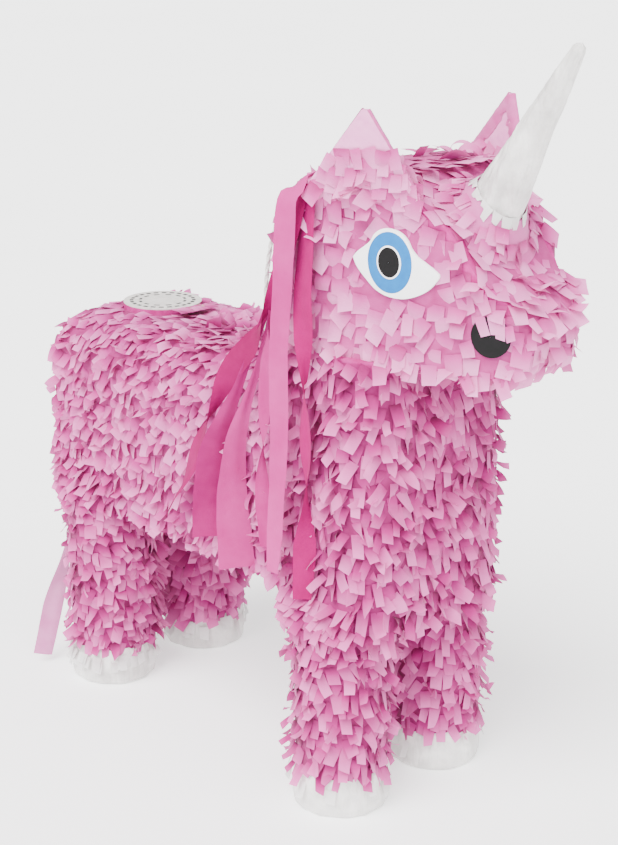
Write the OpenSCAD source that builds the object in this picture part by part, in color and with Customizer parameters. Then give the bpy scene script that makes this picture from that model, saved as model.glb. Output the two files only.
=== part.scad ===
// Unicorn pinata: a paperboard shell covered with tissue fringe, standing on four tube legs.
// Nose towards +X, animal's left towards +Y, up is +Z. Origin on the floor, under the middle.

/* [Trunk] */
// Width of the trunk, chest and neck shells
body_w = 144; // [110:1:180]
// Height of the trunk shell, belly to back
trunk_h = 150; // [120:1:185]
// Radius of the long rounded edges of the back
back_round = 42; // [20:1:50]
// How far the rump stands behind the rear leg axes
rump_reach = 40; // [34:1:55]
// Radius of the rump's top edge in side view
rump_round = 30; // [10:1:36]
// Length of the rump cap, up to its seam with the trunk wrap
rump_len = 20; // [12:1:24]

/* [Legs] */
// Distance between the front and the rear leg axes
leg_span = 282; // [230:1:345]
// Distance between the left and the right leg axes
leg_track = 100; // [88:1:120]
// Height of the rear legs, floor to belly
leg_h = 166; // [130:1:205]
// How much shorter the front legs are, under the deeper chest
chest_drop = 21; // [10:1:30]
// Outside diameter of a leg tube
leg_d = 66; // [54:1:80]
// Height of the paper hoof caps
hoof_h = 30; // [20:1:40]
// Wall of the wrapped paper hoof caps
hoof_t = 2.8; // [1.6:0.2:4]

/* [Chest and neck] */
// Depth of the chest and neck column, back to front
chest_depth = 89; // [76:1:106]
// How far the column's back stands behind the front leg axes
chest_back_reach = 44; // [36:1:52]
// Radius of the column's two front upright edges
chest_round = 28; // [14:1:36]
// How far the jaw line stands above the back
jaw_rise = 29; // [20:1:36]

/* [Head] */
// Length of the head, back of the neck to the muzzle
head_len = 181; // [160:1:220]
// Height of the head, jaw line to crown
head_h = 123; // [108:1:148]
// Radius of the long rounded edges of the crown
crown_round = 25; // [12:1:30]
// Length of the straight cheeks behind the taper towards the nose
cheek_len = 33; // [24:1:42]
// Width of the muzzle's front
muzzle_w = 72; // [60:1:86]
// Radius of the muzzle's two front upright edges
muzzle_r = 26; // [14:1:30]

/* [Ears and horn] */
// Width of an ear at its root
ear_w = 76; // [56:1:90]
// Height of an ear above the crown
ear_rise = 43; // [24:1:60]
// Outward lean of an ear
ear_splay = 10; // [0:1:14]
// Diameter of the horn at its root, inside the forehead
horn_d = 45; // [34:1:54]
// Length of the horn along its axis
horn_len = 141; // [110:1:175]
// Diameter of the horn's blunt tip
horn_tip_d = 9; // [5:1:14]
// Lean of the horn, from upright towards the nose
horn_lean = 30; // [15:1:40]
// Wall of the rolled paper horn
horn_t = 1.6; // [0.8:0.2:3]

/* [Face] */
// Length of an eye sticker
eye_w = 64; // [50:1:74]
// Height of an eye sticker
eye_h = 44; // [30:1:50]
// Diameter of a nostril sticker
nostril_d = 27; // [20:1:34]
// Thickness of the printed paper stickers
sticker_t = 0.8; // [0.4:0.1:1.2]

/* [Fill flap] */
// Diameter of the fill hole in the rump
fill_d = 54; // [40:1:58]
// Distance from the rump's rear face to the middle of the fill hole
fill_inset = 54; // [50:1:70]
// Gap round the flap in its hole
flap_gap = 0.5; // [0.3:0.1:1]
// How far the flap's upper disc and its label lap over the hole's edge
label_lap = 5; // [3:0.5:7]
// Height of the label above the card of the back
label_rise = 5; // [3:0.5:6]

/* [Paper and card] */
// Thickness of the paperboard
card_t = 3; // [2:0.2:4]
// Depth of the tissue fringe on the trunk and chest
fringe_t = 7; // [5:1:12]
// Depth of the tissue fringe on the head
head_fringe_t = 6; // [4:0.5:9]
// Depth of the tissue fringe on the legs
leg_fringe_t = 8; // [5:1:11]

/* [Mane, tail and loop] */
// Thickness of a ribbon of tissue
ribbon_t = 0.8; // [0.4:0.1:1.2]
// Diameter of the hanging loop's cord
cord_d = 3.6; // [2.8:0.2:4.4]

/* [Hidden] */
$fn = 64;

right = -1;
left = 1;
eps = 0.01;
// A cutter reaches this far past what it cuts.
past = 60;
// Gap between a paper cover and the card under it
skin_gap = 0.2;

// Heights
back_z = leg_h + trunk_h;
chest_z = leg_h - chest_drop;
jaw_z = back_z + jaw_rise;
crown_z = jaw_z + head_h;

// Places along the body; the shift puts the origin under the middle of the whole length,
// which runs from the tail's strips to the nose or the horn's tip.
tail_t = 1.6;
horn_back = 60;
horn_out = horn_len * sin(horn_lean) + horn_tip_d / 2 * cos(horn_lean) - horn_back;
nose_reach = head_len - chest_back_reach + max(head_fringe_t, horn_out);
// The tail hangs clear of the rump's fringe and of the rear legs', whichever reaches further.
tail_hang = max(rump_reach + fringe_t, leg_d / 2 + leg_fringe_t);
tail_reach = tail_hang + tail_t;
mid_shift = (nose_reach - tail_reach) / 2;
front_x = leg_span / 2 - mid_shift;
rear_x = -leg_span / 2 - mid_shift;
rump_x = rear_x - rump_reach;
wrap_x = rump_x + rump_len;
tail_x = rear_x - tail_hang;
neck_x = front_x - chest_back_reach;
chest_x = neck_x + chest_depth;
nose_x = neck_x + head_len;
half_w = body_w / 2;

// Colours
card_c = [0.74, 0.60, 0.44];
pink_c = [0.87, 0.62, 0.76];
mid_pink_c = [0.82, 0.35, 0.60];
magenta_c = [0.78, 0.12, 0.46];
pale_c = [0.90, 0.78, 0.84];
white_c = [0.93, 0.93, 0.92];
black_c = [0.07, 0.07, 0.07];

// ---- Helpers ----

// Extrudes an outline drawn in X and Z across the whole width.
module across() {
    rotate([90, 0, 0]) linear_extrude(height = 2 * body_w, center = true) children();
}

// Extrudes an outline drawn in Y and Z from x0 to x1.
module along(x0, x1) {
    translate([x0, 0, 0]) rotate([90, 0, 90]) linear_extrude(height = x1 - x0) children();
}

// A box between two corners
module block(lo, hi) {
    translate(lo) cube(hi - lo);
}

// Upright outline with two rounded top corners, w wide, from z0 to z1
module arch(w, z0, z1, r) {
    translate([-w / 2, z0]) square([w, z1 - r - z0]);
    translate([-w / 2 + r, z0]) square([w - 2 * r, z1 - z0]);
    for (side = [right, left]) translate([side * (w / 2 - r), z1 - r]) circle(r);
}

// Closed strip outline of width w along a route of points
function heading(p, i) =
    let (a = p[max(i - 1, 0)], b = p[min(i + 1, len(p) - 1)]) (b - a) / norm(b - a);
function edge_point(p, i, w, s) = p[i] + s * w / 2 * [-heading(p, i).y, heading(p, i).x];
module strip(route, w) {
    last = len(route) - 1;
    polygon(concat(
        [for (i = [0:last]) edge_point(route, i, w, 1)],
        [for (i = [0:last]) edge_point(route, last - i, w, -1)]
    ));
}

// ---- Trunk ----

// Side view of the trunk, g bigger all round
module trunk_side(g) {
    r = rump_round + g;
    block2d([rump_x + rump_round, leg_h - g], [neck_x, back_z + g]);
    block2d([rump_x - g, leg_h - g], [neck_x, back_z - rump_round]);
    translate([rump_x + rump_round, back_z - rump_round]) circle(r);
}

module block2d(lo, hi) {
    translate(lo) square(hi - lo);
}

module trunk_solid(g) {
    intersection() {
        along(rump_x - past, neck_x) arch(body_w + 2 * g, leg_h - g, back_z + g, back_round + g);
        across() trunk_side(g);
    }
}

// The trunk's wall, open at the belly and towards the neck
module trunk_shell() {
    difference() {
        trunk_solid(0);
        intersection() {
            along(rump_x, neck_x + past)
                arch(body_w - 2 * card_t, leg_h - past, back_z - card_t, back_round - card_t);
            across() union() {
                translate([0, -past]) trunk_side(-card_t);
                trunk_side(-card_t);
                block2d([neck_x - eps, leg_h - past], [neck_x + past, back_z - card_t]);
            }
        }
    }
}

module trunk_wrap() {
    color(card_c) difference() {
        intersection() {
            trunk_shell();
            block([wrap_x, -body_w, 0], [neck_x, body_w, crown_z]);
        }
        translate([fill_x, 0, back_z - past]) cylinder(d = fill_d, h = 2 * past);
        loop_hole();
    }
}

module rump_cap() {
    color(card_c) intersection() {
        trunk_shell();
        block([rump_x - eps, -body_w, 0], [wrap_x, body_w, crown_z]);
    }
}

module belly_panel() {
    color(card_c) block(
        [rump_x + card_t, card_t - half_w, leg_h],
        [neck_x, half_w - card_t, leg_h + card_t]
    );
}

// ---- Chest and neck column ----

// The column seen from above, g bigger on its three outer sides
module chest_plan(g) {
    r = chest_round + g;
    block2d([neck_x, -half_w - g], [chest_x - chest_round, half_w + g]);
    block2d([neck_x, chest_round - half_w], [chest_x + g, half_w - chest_round]);
    for (side = [right, left])
        translate([chest_x - chest_round, side * (half_w - chest_round)]) circle(r);
}

module chest_wrap() {
    color(card_c) difference() {
        translate([0, 0, chest_z]) linear_extrude(height = jaw_z - chest_z) chest_plan(0);
        translate([0, 0, chest_z - past]) linear_extrude(height = jaw_z + past) {
            chest_plan(-card_t);
            block2d([neck_x - past, card_t - half_w], [neck_x + card_t, half_w - card_t]);
        }
    }
}

module chest_floor() {
    color(card_c) translate([0, 0, chest_z]) linear_extrude(height = card_t) chest_plan(-card_t);
}

// Width of the lid left under the head's walls
lid_lip = 10;

// Closes the column's top round the narrower head.
module chest_lid() {
    color(card_c) translate([0, 0, jaw_z - card_t]) linear_extrude(height = card_t) difference() {
        chest_plan(-card_t);
        translate([-eps, 0]) block2d([neck_x, card_t - half_w], [neck_x + card_t + eps, half_w - card_t]);
        intersection() {
            head_plan(-lid_lip);
            block2d([neck_x, -half_w], [chest_x - lid_lip, half_w]);
        }
    }
}

// The doorway lets the sweets fall from the trunk into the chest.
doorway_margin = 22;
module neck_back_panel() {
    color(card_c) difference() {
        block(
            [neck_x, card_t - half_w, chest_z + card_t],
            [neck_x + card_t, half_w - card_t, jaw_z]
        );
        block(
            [neck_x - past, doorway_margin - half_w, leg_h + card_t],
            [neck_x + past, half_w - doorway_margin, back_z - card_t - doorway_margin]
        );
    }
}

// ---- Head ----

// Side view: poll, crown, brow, forehead, bridge of the nose, muzzle and chin
poll_rise = head_h - 63;
brow_x = nose_x - 74;
module head_side_view(g) {
    offset(delta = g) polygon([
        [neck_x, jaw_z],
        [neck_x, jaw_z + poll_rise],
        [neck_x + 6, crown_z - 28],
        [neck_x + 21, crown_z - 10],
        [neck_x + 34, crown_z],
        [nose_x - 98, crown_z],
        [brow_x, crown_z - 17],
        [nose_x - 54, crown_z - 30],
        [nose_x - 41, crown_z - 47],
        [bridge_x, jaw_z + 61],
        [nose_x - 14, jaw_z + 51],
        [nose_x - 3, jaw_z + 38],
        [nose_x, jaw_z + 29],
        [nose_x - 4, jaw_z + 17],
        [nose_x - 11, jaw_z + 5],
        [nose_x - 19, jaw_z]
    ]);
}

// Seen from above: straight cheeks, then flat sides that run tangent into the round muzzle
bridge_x = nose_x - 30;
cheek_x = neck_x + cheek_len;
muzzle_at = [nose_x - muzzle_r, muzzle_w / 2 - muzzle_r];
to_muzzle = muzzle_at - [cheek_x, half_w];
taper = -atan2(to_muzzle.y, to_muzzle.x) - asin(muzzle_r / norm(to_muzzle));
taper_len = sqrt(to_muzzle * to_muzzle - muzzle_r * muzzle_r);
// A point g outside the tapered side, so far along it from the cheek
function beside(far, g) =
    [cheek_x, half_w] + far * [cos(taper), -sin(taper)] + g * [sin(taper), cos(taper)];
function both(points) =
    concat(points, [for (i = [len(points) - 1:-1:0]) [points[i].x, -points[i].y]]);
arc_steps = 10;
function muzzle_arc(g) = [
    for (i = [0:arc_steps])
        let (a = (90 - taper) * (1 - i / arc_steps)) muzzle_at + (muzzle_r + g) * [cos(a), sin(a)]
];
module head_plan(g) {
    polygon(both(concat(
        [[neck_x - past, half_w + g], [cheek_x + g * tan(taper / 2), half_w + g]],
        muzzle_arc(g)
    )));
}

module head_solid(g) {
    intersection() {
        across() head_side_view(g);
        linear_extrude(height = crown_z + past) head_plan(g);
        along(neck_x - past, nose_x + past)
            arch(body_w + 2 * g, jaw_z - g - eps, crown_z + g, crown_round + g);
    }
}

// The space between the head's walls at the level of its floor, so high
module head_floor(h) {
    translate([0, 0, jaw_z - eps]) linear_extrude(height = h + eps) intersection() {
        head_plan(-card_t - eps);
        block2d([neck_x + card_t + eps, -half_w], [bridge_x + eps, half_w]);
    }
}

// The head's skin of card, closed all round
module head_skin() {
    difference() {
        head_solid(0);
        head_solid(-card_t);
    }
}

// The head's walls behind the muzzle, open downwards
module head_walls() {
    difference() {
        head_skin();
        head_floor(2 * card_t);
        loop_hole();
    }
}

// The middle strip of the head, between the seams near its two sides
seam_in = 14;
module head_middle() {
    linear_extrude(height = crown_z + past) head_plan(-seam_in);
}

module head_part(x0, x1) {
    color(card_c) intersection() {
        head_walls();
        block([x0, -body_w, 0], [x1, body_w, crown_z + past]);
        children();
    }
}

module head_side(side) {
    color(card_c) difference() {
        intersection() {
            head_walls();
            block([neck_x - past, side > 0 ? 0 : -body_w, 0],
                [bridge_x, side > 0 ? body_w : 0, crown_z + past]);
        }
        head_middle();
    }
}
module head_side_right() { head_side(right); }
module head_side_left() { head_side(left); }
module crown_panel() { head_part(neck_x - past, brow_x) head_middle(); }
module face_panel() { head_part(brow_x, bridge_x) head_middle(); }
module muzzle_panel() {
    color(card_c) intersection() {
        head_skin();
        block([bridge_x, -body_w, 0], [nose_x + past, body_w, crown_z]);
    }
}
module chin_panel() {
    color(card_c) intersection() {
        head_floor(card_t);
        block([chest_x - card_t, -body_w, jaw_z], [bridge_x, body_w, crown_z]);
    }
}

// ---- Legs and hooves ----

module at_leg(x, side) {
    translate([x, side * leg_track / 2, 0]) children();
}

module leg_tube(x, side, top) {
    color(card_c) at_leg(x, side) translate([0, 0, hoof_t]) difference() {
        cylinder(d = leg_d, h = top - hoof_t);
        translate([0, 0, -past]) cylinder(d = leg_d - 2 * card_t, h = top + 2 * past);
    }
}
module leg_front_right() { leg_tube(front_x, right, chest_z); }
module leg_front_left() { leg_tube(front_x, left, chest_z); }
module leg_rear_right() { leg_tube(rear_x, right, leg_h); }
module leg_rear_left() { leg_tube(rear_x, left, leg_h); }

// A cap of white tissue, wrapped over the end of the tube
hoof_r = leg_d / 2 + skin_gap + hoof_t;
module hoof_cap(x, side) {
    color(white_c) at_leg(x, side) difference() {
        cylinder(r = hoof_r, h = hoof_h);
        translate([0, 0, hoof_t]) cylinder(r = hoof_r - hoof_t, h = hoof_h);
    }
}
module hoof_front_right() { hoof_cap(front_x, right); }
module hoof_front_left() { hoof_cap(front_x, left); }
module hoof_rear_right() { hoof_cap(rear_x, right); }
module hoof_rear_left() { hoof_cap(rear_x, left); }

// ---- Horn and ears ----

horn_root = [nose_x - horn_back, 0, crown_z - 36];
module at_horn() {
    translate(horn_root) rotate([0, horn_lean, 0]) children();
}

module horn_solid(g) {
    at_horn() cylinder(d1 = horn_d + 2 * g, d2 = horn_tip_d + 2 * g, h = horn_len);
}

module horn_cone() {
    color(white_c) difference() {
        horn_solid(0);
        at_horn() translate([0, 0, -eps])
            cylinder(d1 = horn_d - 2 * horn_t, d2 = horn_tip_d - 2 * horn_t, h = horn_len - horn_t);
        head_solid(0);
    }
}

// The torn skirt of tissue that glues the horn to the forehead
collar_t = 1.2;
collar_flare = 3;
collar_h = 44;
function horn_r_at(h) = (horn_d + (horn_tip_d - horn_d) * h / horn_len) / 2;
module collar_solid(g) {
    at_horn() cylinder(
        r1 = horn_r_at(0) + collar_flare + g,
        r2 = horn_r_at(collar_h) + collar_t + g,
        h = collar_h
    );
}
module horn_collar() {
    color(white_c) difference() {
        collar_solid(0);
        horn_solid(skin_gap);
        head_solid(0);
    }
}

// Places children on the outer face of a cheek: X runs forwards, Y up, Z outwards.
module on_cheek(side, far, z, splay) {
    at = beside(far, 0);
    mirror([0, side < 0 ? 1 : 0, 0]) translate([at.x, at.y, z])
        rotate([0, 0, -taper]) rotate([90, 0, 0]) mirror([0, 0, 1]) rotate([splay, 0, 0])
            children();
}

// A card triangle, glued to the outside of the cheek by its root
ear_foot = 22;
ear_tip = 4;
// The foot's inner face is bevelled this deep, so that it lies flat on the cheek.
ear_bevel = 1.5;
module ear_outline() {
    polygon([
        [0, 0],
        [0, ear_foot - 6],
        [0.55 * ear_w, ear_foot + ear_rise],
        [0.55 * ear_w + ear_tip, ear_foot + ear_rise],
        [ear_w, ear_foot - 6],
        [ear_w, 0]
    ]);
}
module ear_slab(side, g) {
    on_cheek(side, 0, crown_z - ear_foot, ear_splay) translate([0, 0, -ear_bevel - g])
        linear_extrude(height = card_t + 2 * g) offset(delta = g) ear_outline();
}
module ear(side) {
    color(pink_c) difference() {
        ear_slab(side, 0);
        head_solid(0);
    }
}
module ear_right() { ear(right); }
module ear_left() { ear(left); }

// ---- Face stickers ----

eye_far = 63;
eye_z = jaw_z + 67;
eye_arc_r = (eye_w * eye_w / 4 + eye_h * eye_h / 4) / eye_h;
module eye_slab(side, t, g) {
    on_cheek(side, eye_far, eye_z, 0) linear_extrude(height = t) intersection() {
        translate([0, eye_h / 2 - eye_arc_r]) circle(eye_arc_r + g);
        translate([0, eye_arc_r - eye_h / 2]) circle(eye_arc_r + g);
    }
}
module eye_right() { color(white_c) eye_slab(right, sticker_t, 0); }
module eye_left() { color(white_c) eye_slab(left, sticker_t, 0); }

// The nostrils lie just behind the place where the flat sides run into the round muzzle.
nostril_far = taper_len - 3;
nostril_z = jaw_z + 29;
module nostril_disc(side, t, g) {
    on_cheek(side, nostril_far, nostril_z, 0) cylinder(d = nostril_d + 2 * g, h = t);
}
module nostril_right() { color(black_c) nostril_disc(right, sticker_t, 0); }
module nostril_left() { color(black_c) nostril_disc(left, sticker_t, 0); }

// ---- Fill flap ----

// Two card discs glued together: the lower one fills the hole, the upper one laps over its edge.
fill_x = rump_x + fill_inset;
label_r = fill_d / 2 + label_lap;
flap_lift = 0.3;
label_z = back_z + label_rise;
module fill_flap() {
    color(card_c) translate([fill_x, 0, 0]) {
        translate([0, 0, back_z + flap_lift - card_t])
            cylinder(r = fill_d / 2 - flap_gap, h = card_t);
        translate([0, 0, back_z + flap_lift])
            cylinder(r = label_r, h = label_z - back_z - flap_lift);
    }
}
module fill_label() {
    color(white_c) translate([fill_x, 0, label_z]) cylinder(r = label_r, h = sticker_t);
}

// The flap turns on the crease between its label and the strip of tape in front of it.
hinge_gap = 0.5;
hinge_x = fill_x + label_r + hinge_gap;
tape_l = 12;
tape_w = 26;
module tape_slab(g, top) {
    block(
        [hinge_x - g, -tape_w / 2 - g, label_z],
        [hinge_x + tape_l + g, tape_w / 2 + g, top]
    );
}
module flap_hinge_tape() { color(white_c) tape_slab(0, label_z + sticker_t); }

// ---- Hanging loop ----

// Route of the cord in X and Z, from the knot in the neck to the knot under the back
cord_y = -10;
cord_route = [
    [54, 431], [50, 432], [40, 434], [29, 437], [17, 439], [5, 439], [-5, 435], [-14, 428],
    [-22, 418], [-28, 406], [-33, 393], [-36, 380], [-38, 366], [-39, 352], [-39, 338],
    [-39, 324], [-39, 313]
];
cord_sides = 8;
cord_last = len(cord_route) - 1;
function ring_point(i, k) =
    let (
        t = heading(cord_route, i),
        a = 360 * k / cord_sides,
        out = cord_d / 2 * cos(a),
        flat = cord_route[i] + out * [-t.y, t.x]
    ) [flat.x, cord_y + cord_d / 2 * sin(a), flat.y];
module hanging_loop() {
    points = [for (i = [0:cord_last]) for (k = [0:cord_sides - 1]) ring_point(i, k)];
    walls = [
        for (i = [0:cord_last - 1]) for (k = [0:cord_sides - 1])
            let (a = i * cord_sides + k, b = i * cord_sides + (k + 1) % cord_sides)
                [a, b, b + cord_sides, a + cord_sides]
    ];
    first = [for (k = [cord_sides - 1:-1:0]) k];
    final = [for (k = [0:cord_sides - 1]) cord_last * cord_sides + k];
    color(white_c) polyhedron(points = points, faces = concat(walls, [first, final]));
}

// The two holes that the cord passes through, and the knots behind them
cord_gap = 0.4;
knot_d = 10;
knot_h = 7;
function unit(v) = v / norm(v);
neck_end = cord_route[0];
back_end = cord_route[cord_last];
neck_aim = unit(cord_route[1] - neck_end);
module at_neck_end() {
    translate([neck_end.x, cord_y, neck_end.y])
        rotate([0, 90 - atan2(neck_aim.y, neck_aim.x), 0]) children();
}
module loop_hole() {
    at_neck_end() translate([0, 0, -knot_h]) cylinder(d = cord_d + 2 * cord_gap, h = 30);
    translate([back_end.x, cord_y, back_end.y - knot_h])
        cylinder(d = cord_d + 2 * cord_gap, h = 30);
}
module loop_knot_neck() {
    color(white_c) at_neck_end() translate([0, 0, -knot_h]) cylinder(d = knot_d, h = knot_h);
}
module loop_knot_back() {
    color(white_c) translate([back_end.x, cord_y, back_end.y - knot_h])
        cylinder(d = knot_d, h = knot_h);
}

// ---- Mane and tail ----

mane_at = [neck_x + 18, crown_z - 16];
mane_slope = 50;
mane_in = 22;
mane_edge = half_w + fringe_t + 0.5;
module mane_gather(side, g) {
    y0 = side > 0 ? mane_in : -mane_edge;
    translate([mane_at.x, y0 - g, mane_at.y]) rotate([0, -mane_slope, 0])
        translate([-6 - g, 0, -3 - g]) cube([12 + 2 * g, mane_edge - mane_in + 2 * g, 11 + 2 * g]);
}
module mane_root(side) {
    color(mid_pink_c) difference() {
        mane_gather(side, 0);
        head_solid(0);
    }
}
module mane_root_right() { mane_root(right); }
module mane_root_left() { mane_root(left); }

// Each ribbon hangs from the gather; its route is in X and Z, measured from the gather.
ribbon_routes = [
    [[4, 2], [-6, -30], [-12, -72], [-28, -105], [-60, -140], [-78, -168], [-98, -208], [-118, -246],
     [-136, -264]],
    [[5, 1], [-6, -42], [-16, -82], [-40, -122], [-58, -160], [-68, -200], [-76, -234], [-82, -264]],
    [[6, 0], [-4, -52], [-14, -102], [-34, -150], [-48, -196], [-54, -232], [-52, -268]],
    [[8, 0], [2, -52], [-2, -112], [-8, -162], [-14, -212], [-24, -252], [-30, -284]],
    [[10, -2], [10, -52], [8, -112], [6, -172], [4, -232], [2, -272], [-1, -300]],
    [[12, -4], [14, -62], [10, -122], [14, -182], [18, -232], [12, -268]]
];
ribbon_widths = [16, 22, 24, 18, 20, 16];
module mane_ribbon(side, i) {
    y0 = mane_edge + i * ribbon_t;
    shade = i % 2 == 0 ? magenta_c : mid_pink_c;
    color(shade)
        translate([mane_at.x, side > 0 ? y0 + ribbon_t : -y0, mane_at.y])
            rotate([90, 0, 0]) linear_extrude(height = ribbon_t)
                strip(ribbon_routes[i], ribbon_widths[i]);
}
module mane_ribbon_right_1() { mane_ribbon(right, 0); }
module mane_ribbon_right_2() { mane_ribbon(right, 1); }
module mane_ribbon_right_3() { mane_ribbon(right, 2); }
module mane_ribbon_right_4() { mane_ribbon(right, 3); }
module mane_ribbon_right_5() { mane_ribbon(right, 4); }
module mane_ribbon_right_6() { mane_ribbon(right, 5); }
module mane_ribbon_left_1() { mane_ribbon(left, 0); }
module mane_ribbon_left_2() { mane_ribbon(left, 1); }
module mane_ribbon_left_3() { mane_ribbon(left, 2); }
module mane_ribbon_left_4() { mane_ribbon(left, 3); }
module mane_ribbon_left_5() { mane_ribbon(left, 4); }
module mane_ribbon_left_6() { mane_ribbon(left, 5); }

// The tail hangs behind the rump; its strips' routes are in Y and Z, from the root.
tail_root_z = leg_h + 0.62 * trunk_h;
tail_root_w = 30;
tail_root_h = 16;
module tail_tuft(g) {
    block(
        [tail_x, -tail_root_w / 2 - g, tail_root_z - g],
        [rump_x + g, tail_root_w / 2 + g, tail_root_z + tail_root_h + g]
    );
}
module tail_root() {
    color(pale_c) tail_tuft(0);
}
tail_drop = tail_root_z - 4;
tail_routes = [
    [[12, 8], [26, -0.2 * tail_drop], [50, -0.5 * tail_drop], [78, -0.8 * tail_drop],
     [94, -tail_drop]],
    [[0, 8], [0, -0.4 * tail_drop], [0, -0.85 * tail_drop]]
];
tail_strip_w = 18;
module tail_strip(side, i) {
    x1 = tail_x - i * tail_t / 2;
    route = [for (p = tail_routes[i]) [side * p.x, tail_root_z + p.y]];
    color(pale_c) along(x1 - tail_t / 2, x1) strip(route, tail_strip_w);
}
module tail_strip_right() { tail_strip(right, 0); }
module tail_strip_left() { tail_strip(left, 0); }
module tail_strip_middle() { tail_strip(right, 1); }

// ---- Tissue fringe ----

// Gap in the fringe round the label
label_clear = 2;
module fringe_trunk() {
    color(pink_c) difference() {
        intersection() {
            trunk_solid(fringe_t);
            block([rump_x - past, -body_w, leg_h], [neck_x, body_w, crown_z]);
        }
        translate([0, 0, -skin_gap]) trunk_solid(skin_gap);
        translate([0, 0, -past]) trunk_solid(0);
        translate([fill_x, 0, back_z - past]) cylinder(r = label_r + label_clear, h = 2 * past);
        tape_slab(skin_gap, crown_z);
        loop_hole();
        tail_tuft(skin_gap);
    }
}

module fringe_chest() {
    color(pink_c) translate([0, 0, chest_z]) linear_extrude(height = jaw_z - chest_z)
        difference() {
            chest_plan(fringe_t);
            chest_plan(skin_gap);
        }
}

module fringe_head() {
    color(pink_c) difference() {
        intersection() {
            head_solid(head_fringe_t);
            block([neck_x - past, -body_w, jaw_z + skin_gap], [nose_x + past, body_w, crown_z + past]);
        }
        head_solid(skin_gap);
        block([neck_x, -half_w, jaw_z - past], [chest_x, half_w, jaw_z + 2]);
        collar_solid(1);
        loop_hole();
        for (side = [right, left]) {
            ear_slab(side, skin_gap);
            mane_gather(side, skin_gap);
            eye_slab(side, past, 1);
            nostril_disc(side, past, 1);
        }
    }
}

module fringe_leg(x, side, top) {
    color(pink_c) at_leg(x, side) translate([0, 0, hoof_h]) difference() {
        cylinder(d = leg_d + 2 * leg_fringe_t, h = top - hoof_h);
        translate([0, 0, -past]) cylinder(d = leg_d + 2 * skin_gap, h = top + 2 * past);
    }
}
module fringe_leg_front_right() { fringe_leg(front_x, right, chest_z); }
module fringe_leg_front_left() { fringe_leg(front_x, left, chest_z); }
module fringe_leg_rear_right() { fringe_leg(rear_x, right, leg_h); }
module fringe_leg_rear_left() { fringe_leg(rear_x, left, leg_h); }

trunk_wrap();
belly_panel();
rump_cap();
chest_wrap();
neck_back_panel();
chest_floor();
chest_lid();
head_side_right();
head_side_left();
crown_panel();
face_panel();
muzzle_panel();
chin_panel();
leg_front_right();
leg_front_left();
leg_rear_right();
leg_rear_left();
hoof_front_right();
hoof_front_left();
hoof_rear_right();
hoof_rear_left();
horn_cone();
horn_collar();
ear_right();
ear_left();
eye_right();
eye_left();
nostril_right();
nostril_left();
fill_flap();
fill_label();
flap_hinge_tape();
hanging_loop();
loop_knot_neck();
loop_knot_back();
fringe_trunk();
fringe_chest();
fringe_head();
fringe_leg_front_right();
fringe_leg_front_left();
fringe_leg_rear_right();
fringe_leg_rear_left();
mane_root_right();
mane_root_left();
mane_ribbon_right_1();
mane_ribbon_right_2();
mane_ribbon_right_3();
mane_ribbon_right_4();
mane_ribbon_right_5();
mane_ribbon_right_6();
mane_ribbon_left_1();
mane_ribbon_left_2();
mane_ribbon_left_3();
mane_ribbon_left_4();
mane_ribbon_left_5();
mane_ribbon_left_6();
tail_root();
tail_strip_right();
tail_strip_left();
tail_strip_middle();
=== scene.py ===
"""A standing unicorn pinata in pink tissue fringe, built round its packed card frame.

Lengths are in mm until a mesh is made.
"""

import math
import random
from collections import namedtuple

import bpy
from mathutils import Matrix, Quaternion, Vector, noise
from mathutils.bvhtree import BVHTree


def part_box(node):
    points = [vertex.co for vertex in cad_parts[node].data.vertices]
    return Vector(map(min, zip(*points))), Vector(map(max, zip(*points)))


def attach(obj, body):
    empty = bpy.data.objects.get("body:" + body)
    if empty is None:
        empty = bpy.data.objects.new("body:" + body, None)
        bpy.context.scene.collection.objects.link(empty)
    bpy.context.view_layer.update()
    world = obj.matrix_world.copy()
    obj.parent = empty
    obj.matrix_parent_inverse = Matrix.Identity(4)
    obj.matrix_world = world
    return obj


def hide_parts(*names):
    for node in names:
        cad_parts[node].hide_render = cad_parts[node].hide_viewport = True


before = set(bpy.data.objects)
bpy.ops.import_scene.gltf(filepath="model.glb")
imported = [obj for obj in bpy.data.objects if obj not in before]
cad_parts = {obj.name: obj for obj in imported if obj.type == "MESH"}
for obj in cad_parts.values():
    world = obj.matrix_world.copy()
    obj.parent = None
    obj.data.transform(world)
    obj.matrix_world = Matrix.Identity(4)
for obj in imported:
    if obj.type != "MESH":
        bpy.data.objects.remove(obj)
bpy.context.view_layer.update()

MM = 0.001
BODY, FLAP = "pinata_body", "fill_flap"
SIDES = {"right": -1, "left": 1}
UP = Vector((0, 0, 1))


def box(node):
    """A CAD node's lowest and highest corners, in mm."""
    low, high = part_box(node)
    return low / MM, high / MM


def spoke(angle):
    return Vector((math.cos(angle), math.sin(angle), 0))


CHEST_LOW, CHEST_HIGH = box("chest_wrap")
TRUNK_LOW, TRUNK_HIGH = box("trunk_wrap")
RUMP_LOW, RUMP_HIGH = box("rump_cap")
CROWN_LOW, CROWN_HIGH = box("crown_panel")
MUZZLE_HIGH = box("muzzle_panel")[1]
LABEL_LOW, LABEL_HIGH = box("fill_label")
LABEL_AT = (LABEL_LOW + LABEL_HIGH) / 2
LABEL_R = (LABEL_HIGH.x - LABEL_LOW.x) / 2
HALF_W = CHEST_HIGH.y
NECK_X = CHEST_LOW.x
JAW_Z = CHEST_HIGH.z
CHEEK_X = NECK_X + 33
TAPER = math.radians(15.99)


# ---- Camera ----

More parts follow.
